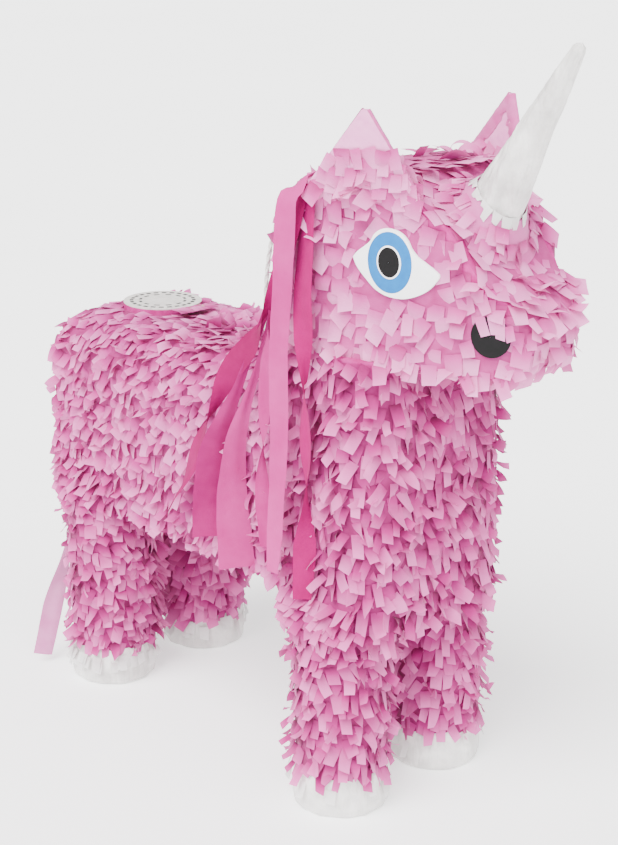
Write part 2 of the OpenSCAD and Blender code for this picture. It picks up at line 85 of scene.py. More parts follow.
def add_camera():
    """The camera stands in front of the animal's right shoulder, a little above it."""
    stand, lens, sensor = Vector((0.834, -0.78081, 0.63114)), 67.7, 36
    azimuth, pitch, roll = (math.radians(a) for a in (46.93, 18.04, 0.41))
    right = spoke(azimuth)
    back = Vector((right.y * math.cos(pitch), -right.x * math.cos(pitch), math.sin(pitch)))
    up = back.cross(right)
    across = right * math.cos(roll) + up * math.sin(roll)
    rise = up * math.cos(roll) - right * math.sin(roll)
    camera = bpy.data.objects.new("camera", bpy.data.cameras.new("camera"))
    bpy.context.scene.collection.objects.link(camera)
    camera.data.lens, camera.data.sensor_width = lens, sensor
    camera.matrix_world = Matrix.Translation(stand) @ Matrix((across, rise, back)).transposed().to_4x4()
    bpy.context.scene.camera = camera


add_camera()


# ---- Node materials ----

def srgb(r, g, b):
    """Linear colour of an sRGB colour given as 0 to 255."""
    shares = (r / 255, g / 255, b / 255)
    return tuple(c / 12.92 if c <= 0.04045 else ((c + 0.055) / 1.055) ** 2.4 for c in shares)


class Look:
    """A Principled material and the few nodes that its colour and relief come from."""

    def __init__(self, name, roughness=0.8, **sockets):
        self.material = bpy.data.materials.new(name)
        self.material.use_nodes = True
        self.nodes = self.material.node_tree.nodes
        self.links = self.material.node_tree.links
        self.nodes.clear()
        values = {label.replace("_", " "): value for label, value in sockets.items()}
        self.shader = self.node("BsdfPrincipled", {"Roughness": roughness, **values})
        self.out = self.node("OutputMaterial", {"Surface": self.shader.outputs[0]})
        self.texture = self.node("TexCoord", {})
        self.place = self.texture.outputs["Object"]

    def node(self, kind, sockets, **settings):
        """A node whose sockets, by name or number, are set to values or linked to other nodes' outputs."""
        made = self.nodes.new("ShaderNode" + kind)
        for label, value in settings.items():
            setattr(made, label, value)
        for key, value in sockets.items():
            if isinstance(value, bpy.types.NodeSocket):
                self.links.new(value, made.inputs[key])
            else:
                made.inputs[key].default_value = value
        return made

    def math(self, how, a, b):
        return self.node("Math", {0: a, 1: b}, operation=how).outputs[0]

    def vector_math(self, how, a, b, output="Vector"):
        return self.node("VectorMath", {0: a, 1: b}, operation=how).outputs[output]

    def attribute(self, name):
        return self.node("Attribute", {}, attribute_name=name).outputs["Fac"]

    def stretched(self, stretch):
        return self.node("Mapping", {"Scale": stretch, "Vector": self.place}).outputs[0]

    def grain(self, size, detail=3.0, stretch=(1, 1, 1)):
        """Noise whose blobs are about size mm across."""
        sockets = {"Scale": 1 / (size * MM), "Detail": detail, "Roughness": 0.55}
        return self.node("TexNoise", {**sockets, "Vector": self.stretched(stretch)}).outputs["Fac"]

    def creases(self, size, stretch):
        """Thin straight creases, as in paper that was crumpled and smoothed."""
        sockets = {"Scale": 1 / (size * MM), "Vector": self.stretched(stretch)}
        return self.node("TexVoronoi", sockets, feature="DISTANCE_TO_EDGE").outputs["Distance"]

    def ramp(self, value, *stops):
        """A colour ramp: stops are (place, linear colour)."""
        node = self.node("ValToRGB", {"Fac": value})
        elements = node.color_ramp.elements
        while len(elements) < len(stops):
            elements.new(0.5)
        for element, (place, colour) in zip(elements, stops):
            element.position = place
            element.color = (*colour, 1)
        return node.outputs["Color"]

    def colour(self, source):
        self.links.new(source, self.shader.inputs["Base Color"])
        self.source = source

    def bump(self, *layers):
        """Relief: each layer is (height 0 to 1, its depth in mm)."""
        under = {}
        for height, depth in layers:
            node = self.node("Bump", {"Strength": 1, "Distance": depth * MM, "Height": height, **under})
            under = {"Normal": node.outputs[0]}
        self.links.new(under["Normal"], self.shader.inputs["Normal"])

    def glow(self, share):
        """Lets that share of the light through, as thin paper does."""
        through = self.node("BsdfTranslucent", {"Color": self.source})
        mix = self.node("MixShader", {0: share, 1: self.shader.outputs[0], 2: through.outputs[0]})
        self.links.new(mix.outputs[0], self.out.inputs["Surface"])


def tissue_look(name, deep, middle, light, glow=0.3, crepe=0.9, sheen=0.12):
    """Crepe tissue with painted shade: darkened in the gaps and by the roots, painted lighter at the tips,
    each tab a little different.
    """
    look = Look(name, 0.72, Specular_IOR_Level=2 * sheen, Sheen_Weight=sheen, Sheen_Roughness=0.5)
    # Half the colour level is painted shade, from the dark roots and backing to the light tips; vary and the
    # blotches add random tone.
    tone = look.math("MULTIPLY", look.attribute("tone"), 0.5)
    vary = look.math("MULTIPLY", look.attribute("vary"), 0.46)
    blotch = look.math("MULTIPLY", look.grain(14, 2), 0.34)
    level = look.math("SUBTRACT", look.math("ADD", look.math("ADD", tone, vary), blotch), 0.2)
    look.colour(look.ramp(level, (0.0, deep), (0.32, middle), (0.8, light)))
    look.bump((look.grain(2.6, 3, (1, 1, 2.4)), 0.35 * crepe), (look.grain(0.7, 2, (1, 1, 3)), 0.12 * crepe))
    look.glow(glow)
    return look.material


def print_look(name, low, high, roughness=0.35, relief=0.05):
    """A printed sticker or label: nearly even colour, faint mottle, paper relief under the ink."""
    look = Look(name, roughness=roughness, Specular_IOR_Level=0.22)
    look.colour(look.ramp(look.grain(5, 4), (0.3, low), (0.7, high)))
    look.bump((look.grain(1.2, 3), relief), (look.grain(22, 2), relief * 5))
    return look.material


BOARD_DARK, BOARD_PALE = srgb(138, 104, 70), srgb(182, 145, 104)


def card_look(name, deep, light, lines=0.25):
    """Plain board: pressed fibres, faint flute lines and a dusty surface."""
    look = Look(name, roughness=0.88, Specular_IOR_Level=0.2)
    fibre = look.grain(1.4, 5, (1, 1, 0.12))
    cloud = look.math("MULTIPLY", look.grain(26, 3), 0.45)
    level = look.math("ADD", look.math("MULTIPLY", fibre, 0.55), cloud)
    look.colour(look.ramp(level, (0.3, deep), (0.7, light)))
    look.bump((fibre, 0.1), (look.grain(5.5, 1, (0.05, 0.05, 1)), lines))
    return look.material


def wrapped_look(name, centre, share, deep, light):
    """Board with tissue glued to its outside.

    The side that faces away from the part's centre is pink, and the inside is bare board. share weighs the
    three directions.
    """
    look = Look(name, roughness=0.85, Specular_IOR_Level=0.2)
    away = look.vector_math("SUBTRACT", look.place, [c * MM for c in centre])
    weighed = look.vector_math("MULTIPLY", away, share)
    facing = look.vector_math("DOT_PRODUCT", weighed, look.texture.outputs["Normal"], "Value")
    outside = look.math("GREATER_THAN", facing, 0.00001)
    board = look.ramp(look.grain(1.4, 5, (1, 1, 0.12)), (0.3, BOARD_DARK), (0.7, BOARD_PALE))
    tissue = look.ramp(look.grain(9, 3), (0.3, deep), (0.75, light))
    mix = look.node("Mix", {"Factor": outside, "A": board, "B": tissue}, data_type="RGBA")
    look.colour(mix.outputs["Result"])
    look.bump((look.grain(2.6, 3), 0.3), (look.grain(6, 2), 0.5))
    return look.material


def white_paper_look():
    """Glazed white tissue, glued down wet: long soft wrinkles, glossy where the glue is thick."""
    look = Look("white_paper", Specular_IOR_Level=0.5, Coat_Weight=0.18, Coat_Roughness=0.25)
    look.colour(look.ramp(look.grain(18, 4), (0.25, srgb(190, 186, 184)), (0.7, srgb(238, 236, 233))))
    wet = look.node("MapRange", {"Value": look.grain(9, 3), "To Min": 0.3, "To Max": 0.62})
    look.links.new(wet.outputs[0], look.shader.inputs["Roughness"])
    look.bump((look.creases(9, (1.6, 1.6, 0.35)), 1.3), (look.grain(2.6, 4, (1.5, 1.5, 0.4)), 0.7))
    return look.material


def cord_look():
    """White braided cord: fine slanted yarns, with painted shade that greys the hollows between them."""
    look = Look("cord_white", roughness=0.7, Sheen_Weight=0.2)
    yarn = look.grain(0.6, 2, (1, 1, 0.5))
    # The same noise sets the relief and the colour, so the low hollows get painted shade.
    look.colour(look.ramp(yarn, (0.3, srgb(190, 188, 184)), (0.65, srgb(240, 239, 235))))
    look.bump((yarn, 0.15))
    return look.material


def floor_look():
    white = (1, 1, 1, 1)
    look = Look("floor_paper", 0.9, Specular_IOR_Level=0.1, Emission_Color=white, Emission_Strength=0.8)
    look.colour(look.ramp(look.grain(900, 2), (0.3, (0.9, 0.9, 0.9)), (0.7, (0.93, 0.93, 0.93))))
    return look.material


PINK = tissue_look("tissue_pink", (0.24, 0.001, 0.085), (0.54, 0.042, 0.28), (0.8, 0.22, 0.53))
# A darker copy of the pink tissue: painted shade for the chest, the legs and the crown between the ears,
# which lie in shadow.
PAINTED_SHADE_PINK = tissue_look(
    "tissue_painted_shade_pink", (0.13, 0.0, 0.04), (0.43, 0.018, 0.2), (0.74, 0.165, 0.46), glow=0.22,
)
HEAD_PINK = tissue_look(
    "tissue_head_pink", (0.33, 0.004, 0.125), (0.63, 0.08, 0.35), (0.83, 0.27, 0.57), glow=0.25,
)
MAGENTA = tissue_look(
    "tissue_magenta", (0.1, 0.0, 0.026), (0.24, 0.0, 0.075), (0.4, 0.0, 0.145),
    glow=0.1, crepe=0.6, sheen=0.03,
)
MID_PINK = tissue_look(
    "tissue_mid_pink", (0.22, 0.0, 0.08), (0.4, 0.012, 0.165), (0.55, 0.05, 0.27),
    glow=0.15, crepe=0.6, sheen=0.04,
)
PALE = tissue_look(
    "tissue_pale", (0.55, 0.1, 0.34), (0.74, 0.27, 0.53), (0.82, 0.42, 0.63), glow=0.5, crepe=0.6,
)
WHITE = white_paper_look()
WHITE_TISSUE = tissue_look("tissue_white", (0.6, 0.5, 0.52), (0.75, 0.72, 0.72), (0.82, 0.81, 0.8), glow=0.3)
EAR_CARD = print_look("card_pink", (0.72, 0.22, 0.5), (0.8, 0.29, 0.57), roughness=0.75, relief=0.08)
BOARD = card_look("board_brown", BOARD_DARK, BOARD_PALE)
TAPE = card_look("tape_paper", srgb(176, 150, 112), srgb(205, 182, 146), 0.05)
EYE_WHITE = print_look("print_white", (0.9, 0.9, 0.91), (0.93, 0.93, 0.94))
EYE_BLUE = print_look("print_blue", (0.0, 0.125, 0.38), (0.0, 0.15, 0.43), roughness=0.6)
EYE_BLACK = print_look("print_black", (0.001, 0.001, 0.001), (0.003, 0.002, 0.003), roughness=0.7)
LABEL = print_look("print_label", srgb(186, 181, 178), srgb(208, 204, 200), roughness=0.6, relief=0.1)
LABEL_INK = print_look("print_grey", srgb(30, 29, 29), srgb(54, 52, 52), roughness=0.6)
CORD = cord_look()


# ---- Paper geometry ----

class Paper:
    """Strips of thin paper gathered into one mesh.

    Each point carries painted shade: 0 at a glued root, which is darkened as if in shadow, and 1 at a free
    tip, which is painted lighter; vary is one value for each strip.
    """

    def __init__(self):
        self.points, self.faces, self.tones, self.varies, self.kinds = [], [], [], [], []

    def grid(self, rows, tones, vary=0.5, kind=0, ring=False):
        first, wide = len(self.points), len(rows[0])
        for row, tone in zip(rows, tones):
            self.points.extend(row)
            self.tones.extend([tone] * wide)
            self.varies.extend([vary] * wide)
        for i in range(len(rows) - 1):
            for j in range(wide if ring else wide - 1):
                a, b = first + i * wide + j, first + i * wide + (j + 1) % wide
                self.faces.append((a, b, b + wide, a + wide))
                self.kinds.append(kind)

    def piece(self, name, materials, slot, replaces=(), body=BODY):
        mesh = bpy.data.meshes.new(name)
        mesh.from_pydata([p * MM for p in self.points], [], self.faces)
        for label, values in (("tone", self.tones), ("vary", self.varies)):
            mesh.attributes.new(label, "FLOAT", "POINT").data.foreach_set("value", values)
        for material in materials:
            mesh.materials.append(material)
        mesh.polygons.foreach_set("material_index", self.kinds)
        mesh.polygons.foreach_set("use_smooth", [True] * len(self.faces))
        mesh.validate()
        mesh.update()
        made = bpy.data.objects.new(name, mesh)
        bpy.context.scene.collection.objects.link(made)
        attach(made, body)
        if replaces:
            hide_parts(*replaces)
        return made


def smooth_line(points, count):
    """count points along one smooth curve through the given ones."""
    ends = [points[0] * 2 - points[1], *points, points[-1] * 2 - points[-2]]
    dense = []
    for i in range(len(points) - 1):
        a, b, c, d = ends[i:i + 4]
        for k in range(12):
            t = k / 12
            square, cube = 2 * a - 5 * b + 4 * c - d, 3 * b - a - 3 * c + d
            dense.append(0.5 * ((2 * b) + (c - a) * t + square * t * t + cube * t ** 3))
    dense.append(points[-1].copy())
    runs = [0.0]
    for a, b in zip(dense, dense[1:]):
        runs.append(runs[-1] + (b - a).length)
    line, j = [], 0
    for k in range(count):
        want = runs[-1] * k / (count - 1)
        while j < len(dense) - 2 and runs[j + 1] < want:
            j += 1
        span = max(runs[j + 1] - runs[j], 1e-9)
        line.append(dense[j].lerp(dense[j + 1], min(1, (want - runs[j]) / span)))
    return line


def length_of(line):
    return sum((b - a).length for a, b in zip(line, line[1:]))


# ---- Hanging loop: first among the soft pieces ----

LOOP_ROUTE = [
    (54, 431), (50, 432), (40, 434), (29, 437), (17, 439), (5, 439), (-5, 435), (-14, 428), (-22, 418),
    (-28, 406), (-33, 393), (-36, 380), (-38, 366), (-39, 352), (-39, 338), (-39, 324), (-39, 313),
]
LOOP_Y = -10
CORD_D = 3.6


def tube(line, radius, around, lobes, depth, pitch):
    """A closed tube of twisted strands round a line: lobes is their number, depth how far they stand out."""
    paper = Paper()
    rows, side, run = [], None, 0.0
    for i, point in enumerate(line):
        ahead = (line[min(i + 1, len(line) - 1)] - line[max(i - 1, 0)]).normalized()
        side = ahead.orthogonal() if side is None else side - ahead * side.dot(ahead)
        side.normalize()
        other = ahead.cross(side)
        if i:
            run += (point - line[i - 1]).length
        row = []
        for k in range(around):
            angle = math.tau * k / around
            r = radius * (1 - depth + depth * math.cos(lobes * angle - math.tau * run / pitch))
            row.append(point + (side * math.cos(angle) + other * math.sin(angle)) * r)
        rows.append(row)
    rows.insert(0, [line[0].copy() for _ in range(around)])
    rows.append([line[-1].copy() for _ in range(around)])
    paper.grid(rows, [0.5] * len(rows), ring=True)
    return paper


def add_loop():
    line = smooth_line([Vector((x, LOOP_Y, z)) for x, z in LOOP_ROUTE], 170)
    loop = tube(line, CORD_D / 2, 18, 3, 0.16, 9).piece("loop_cord", [CORD], "white_cord", ["hanging_loop"])
    for node in ("loop_knot_neck", "loop_knot_back"):
        low, high = box(node)
        middle, reach = (low + high) / 2, (high - low) / 2 - Vector((1.6, 1.6, 1.6))
        knot = []
        for k in range(61):
            t = math.tau * k / 60
            knot.append(middle + Vector((
                reach.x * (math.sin(t) + 2 * math.sin(2 * t)) / 3,
                reach.y * (math.cos(t) - 2 * math.cos(2 * t)) / 3,
                -reach.z * math.sin(3 * t),
            )))
        tube(knot, 1.5, 10, 3, 0.12, 6).piece(node + "_tied", [CORD], "white_cord", [node])


add_loop()


# ---- The card that tissue is glued to ----

def tree_of(nodes):
    points, faces = [], []
    for name in nodes:
        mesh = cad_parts[name].data
        first = len(points)
        points.extend(v.co / MM for v in mesh.vertices)
        faces.extend([first + i for i in p.vertices] for p in mesh.polygons)
    return BVHTree.FromPolygons(points, faces)


HEAD_CARD = ["head_side_right", "head_side_left", "crown_panel", "face_panel", "muzzle_panel", "chin_panel"]
TRUNK_CARD = ["trunk_wrap", "rump_cap", "belly_panel", "chest_wrap", "chest_floor", "neck_back_panel"]
LEG_CARD = ["leg_front_right", "leg_front_left", "leg_rear_right", "leg_rear_left"]
CARD = tree_of(HEAD_CARD + TRUNK_CARD + LEG_CARD)
HEAD_AND_EARS = tree_of(HEAD_CARD + ["ear_right", "ear_left"])


def cast(origin, aim, tree=CARD, reach=140.0):
    """Where a ray meets the card, as (point, outward normal), or None."""
    hit, normal, _, _ = tree.ray_cast(origin, aim, reach)
    if hit is None:
        return None
    return hit, (-normal if normal.dot(aim) > 0 else normal)


# How one kind of fringe is cut and hangs: lengths in mm, angles in degrees, loose a share of the tabs.
Cut = namedtuple(
    "Cut", "width length row lift spread curl sway loose twist", defaults=(12, 7, 18, 12, 0.22, 25),
)


BODY_CUT = Cut(8.8, 11.6, 8.0, lift=15, spread=10, curl=26, sway=24, loose=0.34, twist=45)
BACK_CUT = Cut(9.6, 11.8, 8.4, lift=10, spread=7, curl=20, sway=42, loose=0.22, twist=30)
CHEST_CUT = Cut(7.8, 15.5, 9.4, lift=12, spread=8, curl=30, sway=20, loose=0.36, twist=55)
LEG_CUT = Cut(7.6, 14.5, 9.0, lift=12, spread=8, curl=30, sway=19, loose=0.34, twist=55)
REAR_CUT = Cut(8.4, 12.0, 8.4, lift=13, spread=8, curl=26, sway=20, loose=0.32, twist=45)
INNER_CUT = Cut(8.8, 21.0, 10.5, lift=32, spread=9, curl=26, sway=22, loose=0.1, twist=45)
CHEEK_CUT = Cut(11.0, 12.6, 9.6, lift=6, spread=4, curl=14, sway=15, loose=0.16, twist=22)
BROW_CUT = Cut(13.5, 15.0, 10.5, lift=3.5, spread=2.5, curl=8, sway=20, loose=0.07, twist=10)
CHIN_CUT = Cut(8.6, 11.5, 8.6, lift=14, loose=0.32)


def add_tab(paper, rng, root, normal, way, width, length, lift, curl, twist, kind=0, steps=4):
    """One tab: it leaves its root along way, lifted off the surface, and curls and turns as it goes."""
    side = normal.cross(way).normalized()
    angle, roll = math.radians(lift), math.radians(rng.gauss(0, 4))
    cup = rng.uniform(-0.12, 0.16) * width
    skew = rng.uniform(-0.12, 0.12)
    point = root + normal * rng.uniform(0.7, 1.3)
    rows, tones = [], []
    for i in range(steps + 1):
        t = i / steps
        ahead = way * math.cos(angle) + normal * math.sin(angle)
        out = normal * math.cos(angle) - way * math.sin(angle)
        across = side * math.cos(roll) + out * math.sin(roll)
        face = out * math.cos(roll) - side * math.sin(roll)
        half = width / 2 * (1 - 0.1 * t)
        slant = ahead * (skew * width * t)
        ridge = point + face * cup * math.sin(math.pi * (0.15 + 0.7 * t))
        rows.append([point - across * half - slant, ridge, point + across * half + slant])
        # Painted shade along the tab: dark at the glued root, lighter towards the free tip.
        tones.append(0.12 + 0.88 * t)
        point = point + ahead * (length / steps)
        angle += math.radians(curl) / steps
        roll += math.radians(twist) / steps
    paper.grid(rows, tones, rng.random(), kind)


def lay_tabs(paper, rng, cut, ray, us, vs, flow, room=None, tree=CARD, kind=0):
    """Glues rows of tabs.

    ray(u, v) gives a start and an aim, and flow(point, normal) the way that the tabs hang.
    room(point, way, length) gives the length that there is room for, or 0, and whether the tab lies low.
    """
    low, high = vs
    rows = max(1, round((high - low) / cut.row))
    for i in range(rows + 1):
        v = low + (high - low) * i / rows
        u = us[0] - rng.uniform(0, cut.width)
        while u < us[1]:
            width = cut.width * rng.uniform(0.72, 1.3)
            spot = cast(*ray(u + width / 2, v + rng.gauss(0, cut.row * 0.13)), tree)
            u += width * rng.uniform(0.94, 1.12)
            if spot is None:
                continue
            point, normal = spot
            way = flow(point, normal)
            way = way - normal * way.dot(normal)
            if way.length < 0.15:
                continue
            way.normalize()
            way.rotate(Quaternion(normal, math.radians(rng.gauss(0, cut.sway))))
            length = cut.length * rng.uniform(0.78, 1.2)
            lift, curl = rng.gauss(cut.lift, cut.spread), rng.gauss(-4, cut.curl)
            twist = rng.gauss(0, cut.twist * 0.4)
            if rng.random() < cut.loose:
                lift, curl, twist = rng.uniform(20, 62), rng.uniform(-75, 55), rng.gauss(0, cut.twist)
                length *= rng.uniform(0.75, 1.05)
            if room:
                length, lies_low = room(point, way, length)
                if length <= 0:
                    continue
                if lies_low:
                    lift, curl, twist = min(lift, 6), min(curl, 4), twist * 0.3
            add_tab(paper, rng, point, normal, way, width, length, max(2.0, lift), curl, twist, kind)


def down(point, normal):
    return Vector((0, 0, -1))


def backward(point, normal):
    return Vector((-1, 0, 0))


def straight(aim, start):
    """Rays along an axis, from start on it. v is height, unless the rays run up or down: then it is X."""
    def ray(u, v):
        if aim.x:
            return Vector((start, u, v)), aim
        if aim.y:
            return Vector((u, start, v)), aim
        return Vector((v, u, start)), aim
    return ray


def lay_backing(paper, ray, us, vs, step=6.0):
    """The glued layer that the tabs are cut from: a crumpled skin just off the card."""
    across = max(2, round((us[1] - us[0]) / step))
    along = max(2, round((vs[1] - vs[0]) / step))
    index = {}
    for i in range(along + 1):
        for j in range(across + 1):
            spot = cast(*ray(us[0] + (us[1] - us[0]) * j / across, vs[0] + (vs[1] - vs[0]) * i / along))
            if spot:
                point = spot[0] + spot[1] * (0.75 + 0.35 * noise.noise(spot[0] * 0.13))
                index[i, j] = len(paper.points)
                paper.points.append(point)
                # The backing is painted dark, as shade in the gaps under the tabs, with a little random tone.
                paper.tones.append(0.1 + 0.25 * noise.noise(point * 0.2))
                paper.varies.append(0.35)
    for i in range(along):
        for j in range(across):
            ring = [index.get(k) for k in ((i, j), (i, j + 1), (i + 1, j + 1), (i + 1, j))]
            if None not in ring:
                corners = [paper.points[k] for k in ring]
                if max((a - b).length for a in corners for b in corners) < step * 4:
                    paper.faces.append(tuple(ring))
                    paper.kinds.append(0)


# ---- Trunk ----

BACK_R = 42
WALL = TRUNK_HIGH.z - BACK_R - TRUNK_LOW.z
BEND = BACK_R * math.pi / 2
HALF_GIRTH = WALL + BEND + HALF_W - BACK_R


def arch(s, side):
    """(point in Y and Z, outward normal) s mm up one side of the trunk and over towards its ridge."""
    if s < WALL:
        y, z, ny, nz = HALF_W, TRUNK_LOW.z + s, 1, 0
    elif s < WALL + BEND:
        angle = (s - WALL) / BACK_R
        y, z = HALF_W - BACK_R * (1 - math.cos(angle)), TRUNK_HIGH.z - BACK_R * (1 - math.sin(angle))
        ny, nz = math.cos(angle), math.sin(angle)
    else:
        y, z, ny, nz = HALF_W - BACK_R - (s - WALL - BEND), TRUNK_HIGH.z, 0, 1
    return side * y, z, side * ny, nz


def trunk_ray(side):
    def ray(u, v):
        y, z, ny, nz = arch(v, side)
        return Vector((u, y + 25 * ny, z + 25 * nz)), Vector((0, -ny, -nz))
    return ray


RIDGE_Z = 300


def around_label(point, way, length):
    """Tabs keep off the fill hole's label and lie low beside it."""
    off = Vector((point.x - LABEL_AT.x, point.y - LABEL_AT.y))
    if point.z < RIDGE_Z or off.length > LABEL_R + 34:
        return length, False
    if off.length < LABEL_R + 1.5:
        return 0, True
    tip = off + Vector((way.x, way.y)) * length
    if tip.length < LABEL_R + 1:
        inward = length * (off.length - LABEL_R - 1) / max(off.length - tip.length, 1e-6)
        return (inward if inward > 5 else 0), True
    return length, True


def trunk_flow(side):
    def flow(point, normal):
        rearward = 0.35 if normal.z > 0.6 else 0.08
        return Vector((-rearward, side * 0.8 * max(0.0, normal.z), -1 + 0.6 * normal.z))
    return flow


def add_trunk():
    rng = random.Random("trunk")
    paper = Paper()
    span, reach = (RUMP_LOW.x - 1, NECK_X + 2), (-HALF_W + 4, HALF_W - 4)
    for side in SIDES.values():
        ray, flow = trunk_ray(side), trunk_flow(side)
        lay_backing(paper, ray, span, (0, HALF_GIRTH), 7)
        lay_tabs(paper, rng, BODY_CUT, ray, span, (3, WALL + BEND * 0.75), flow, around_label)
        lay_tabs(paper, rng, BACK_CUT, ray, span, (WALL + BEND * 0.85, HALF_GIRTH - 2), flow, around_label)
    tape_low, tape_high = box("flap_hinge_tape")
    for x in (tape_high.x + 5, tape_high.x - 1):
        for y in (-15, -8, -1, 6, 13):
            root = Vector((x + rng.uniform(-1, 1), y + rng.uniform(-1, 1), tape_high.z - 0.6))
            way = Vector((-1, rng.gauss(0, 0.2), 0)).normalized()
            add_tab(paper, rng, root, UP, way, rng.uniform(8, 11), min(11, x - tape_low.x - 0.6), 3, -2, 0)
    behind = straight(Vector((1, 0, 0)), RUMP_LOW.x - 40)
    lay_backing(paper, behind, reach, (TRUNK_LOW.z + 1, RUMP_HIGH.z - 3), 7)
    lay_tabs(paper, rng, BODY_CUT, behind, reach, (TRUNK_LOW.z + 3, RUMP_HIGH.z - 4), down)
    under = straight(UP, TRUNK_LOW.z - 12)
    lay_backing(paper, under, (-HALF_W + 2, HALF_W - 2), (RUMP_LOW.x + 3, NECK_X - 1), 7)
    lay_tabs(paper, rng, BODY_CUT, under, reach, (-140, NECK_X - 6), backward)
    paper.piece("fringe_trunk_tabs", [PINK], "pink_tissue", ["fringe_trunk"])


# ---- Chest and neck ----

CHEST_R = 28


def chest_ray(u, v):
    """u runs round the chest from the right shoulder to the left one, v up it."""
    flat, bend = CHEST_HIGH.x - CHEST_R - NECK_X, CHEST_R * math.pi / 2
    front = HALF_W - CHEST_R
    half = flat + bend + front
    side, s = (-1, u) if u < half else (1, 2 * half - u)
    if s < flat:
        at, normal = (NECK_X + s, HALF_W), (0, 1)
    elif s < flat + bend:
        angle = (s - flat) / CHEST_R
        at = (CHEST_HIGH.x - CHEST_R * (1 - math.sin(angle)), HALF_W - CHEST_R * (1 - math.cos(angle)))
        normal = (math.sin(angle), math.cos(angle))
    else:
        at, normal = (CHEST_HIGH.x, front - (s - flat - bend)), (1, 0)
    out = Vector((normal[0], side * normal[1], 0))
    return Vector((at[0], side * at[1], v)) + out * 14, -out


CHEST_GIRTH = 2 * (CHEST_HIGH.x - CHEST_R - NECK_X + CHEST_R * math.pi / 2 + HALF_W - CHEST_R)


def add_chest():
    rng = random.Random("chest")
    paper = Paper()
    lay_backing(paper, chest_ray, (0, CHEST_GIRTH), (CHEST_LOW.z + 1, JAW_Z - 2), 7)
    lay_tabs(paper, rng, CHEST_CUT, chest_ray, (-2, CHEST_GIRTH + 2), (CHEST_LOW.z + 3, JAW_Z - 3), down)
    under, reach = straight(UP, CHEST_LOW.z - 12), (-HALF_W + 4, HALF_W - 4)
    lay_backing(paper, under, reach, (NECK_X + 1, CHEST_HIGH.x - 3), 7)
    lay_tabs(paper, rng, BODY_CUT, under, reach, (NECK_X + 8, CHEST_HIGH.x - 4), backward)
    # The chest's tabs take the darker pink copy, painted shade for the chest's shadowed front.
    paper.piece("fringe_chest_tabs", [PAINTED_SHADE_PINK], "pink_tissue", ["fringe_chest"])


# ---- Legs and hooves ----

LEG_R, FRINGE_R = 35, 36


def add_legs():
    for end, cut in (("front", LEG_CUT), ("rear", REAR_CUT)):
        for hand, side in SIDES.items():
            name = f"{end}_{hand}"
            low, high = box("leg_" + name)
            middle, top = (low + high) / 2, high.z
            rng = random.Random("leg " + name)
            paper = Paper()

            def ray(u, v, middle=middle):
                out = spoke(u / FRINGE_R)
                return Vector((middle.x, middle.y, v)) + out * (FRINGE_R + 10), -out
            girth = math.tau * FRINGE_R
            lay_backing(paper, ray, (0, girth), (28, top - 1), 6.5)
            lay_tabs(paper, rng, cut, ray, (0, girth), (38, top - 4), down)
            if end == "rear":
                inner = -side * girth / 4
                for foot in (44, 49):
                    lay_tabs(paper, rng, INNER_CUT, ray, (inner - 34, inner + 46), (foot, top - 2), down)
            add_shoulder(paper, rng, middle, side, top)
            # The legs' tabs take the darker pink copy, painted shade for the legs in shadow under the body.
            paper.piece(f"fringe_leg_{name}_tabs", [PAINTED_SHADE_PINK], "pink_tissue", ["fringe_leg_" + name])
            add_hoof(name, middle, end == "rear")


def add_shoulder(paper, rng, middle, side, top):
    """Tissue that bridges from the body's wall down over the part of a leg that stands proud of it."""
    half = LEG_R - 1

    def spot(x, share, rise, lift):
        proud = max(0.4, abs(middle.y) + math.sqrt(max(0, LEG_R ** 2 - (x - middle.x) ** 2)) - HALF_W)
        return Vector((x, side * (HALF_W + lift + proud * share), top + rise))
    rows = []
    for k in range(18):
        x = middle.x - half + 2 * half * k / 17
        row = []
        for share, rise in ((1.0, -7), (1.0, 0), (0.82, 5), (0.5, 11), (0.2, 18), (0.0, 26)):
            row.append(spot(x, share, rise, 1 + 0.5 * noise.noise(Vector((x * 0.15, rise * 0.15, side * 4)))))
        rows.append(row)
    # The bridging skin is painted dark, as shade under the tabs that hang over it.
    paper.grid(rows, [0.15] * len(rows), 0.35)
    for rise, share in ((20, 0.15), (13, 0.4), (6, 0.75), (-1, 1.0)):
        x = middle.x - half
        while x < middle.x + half:
            wide = rng.uniform(6.5, 10)
            normal = Vector((0, side * 0.86, 0.5)).normalized() if rise > 0 else Vector((0, side, 0))
            way = Vector((rng.gauss(0, 0.25), side * 0.5 if rise > 0 else 0, -0.86))
            way = (way - normal * way.dot(normal)).normalized()
            add_tab(
                paper, rng, spot(x, share, rise, 1.2), normal, way, wide, rng.uniform(11, 15),
                rng.uniform(3, 30), rng.uniform(-35, 20), rng.gauss(0, 22),
            )
            x += wide * 0.97


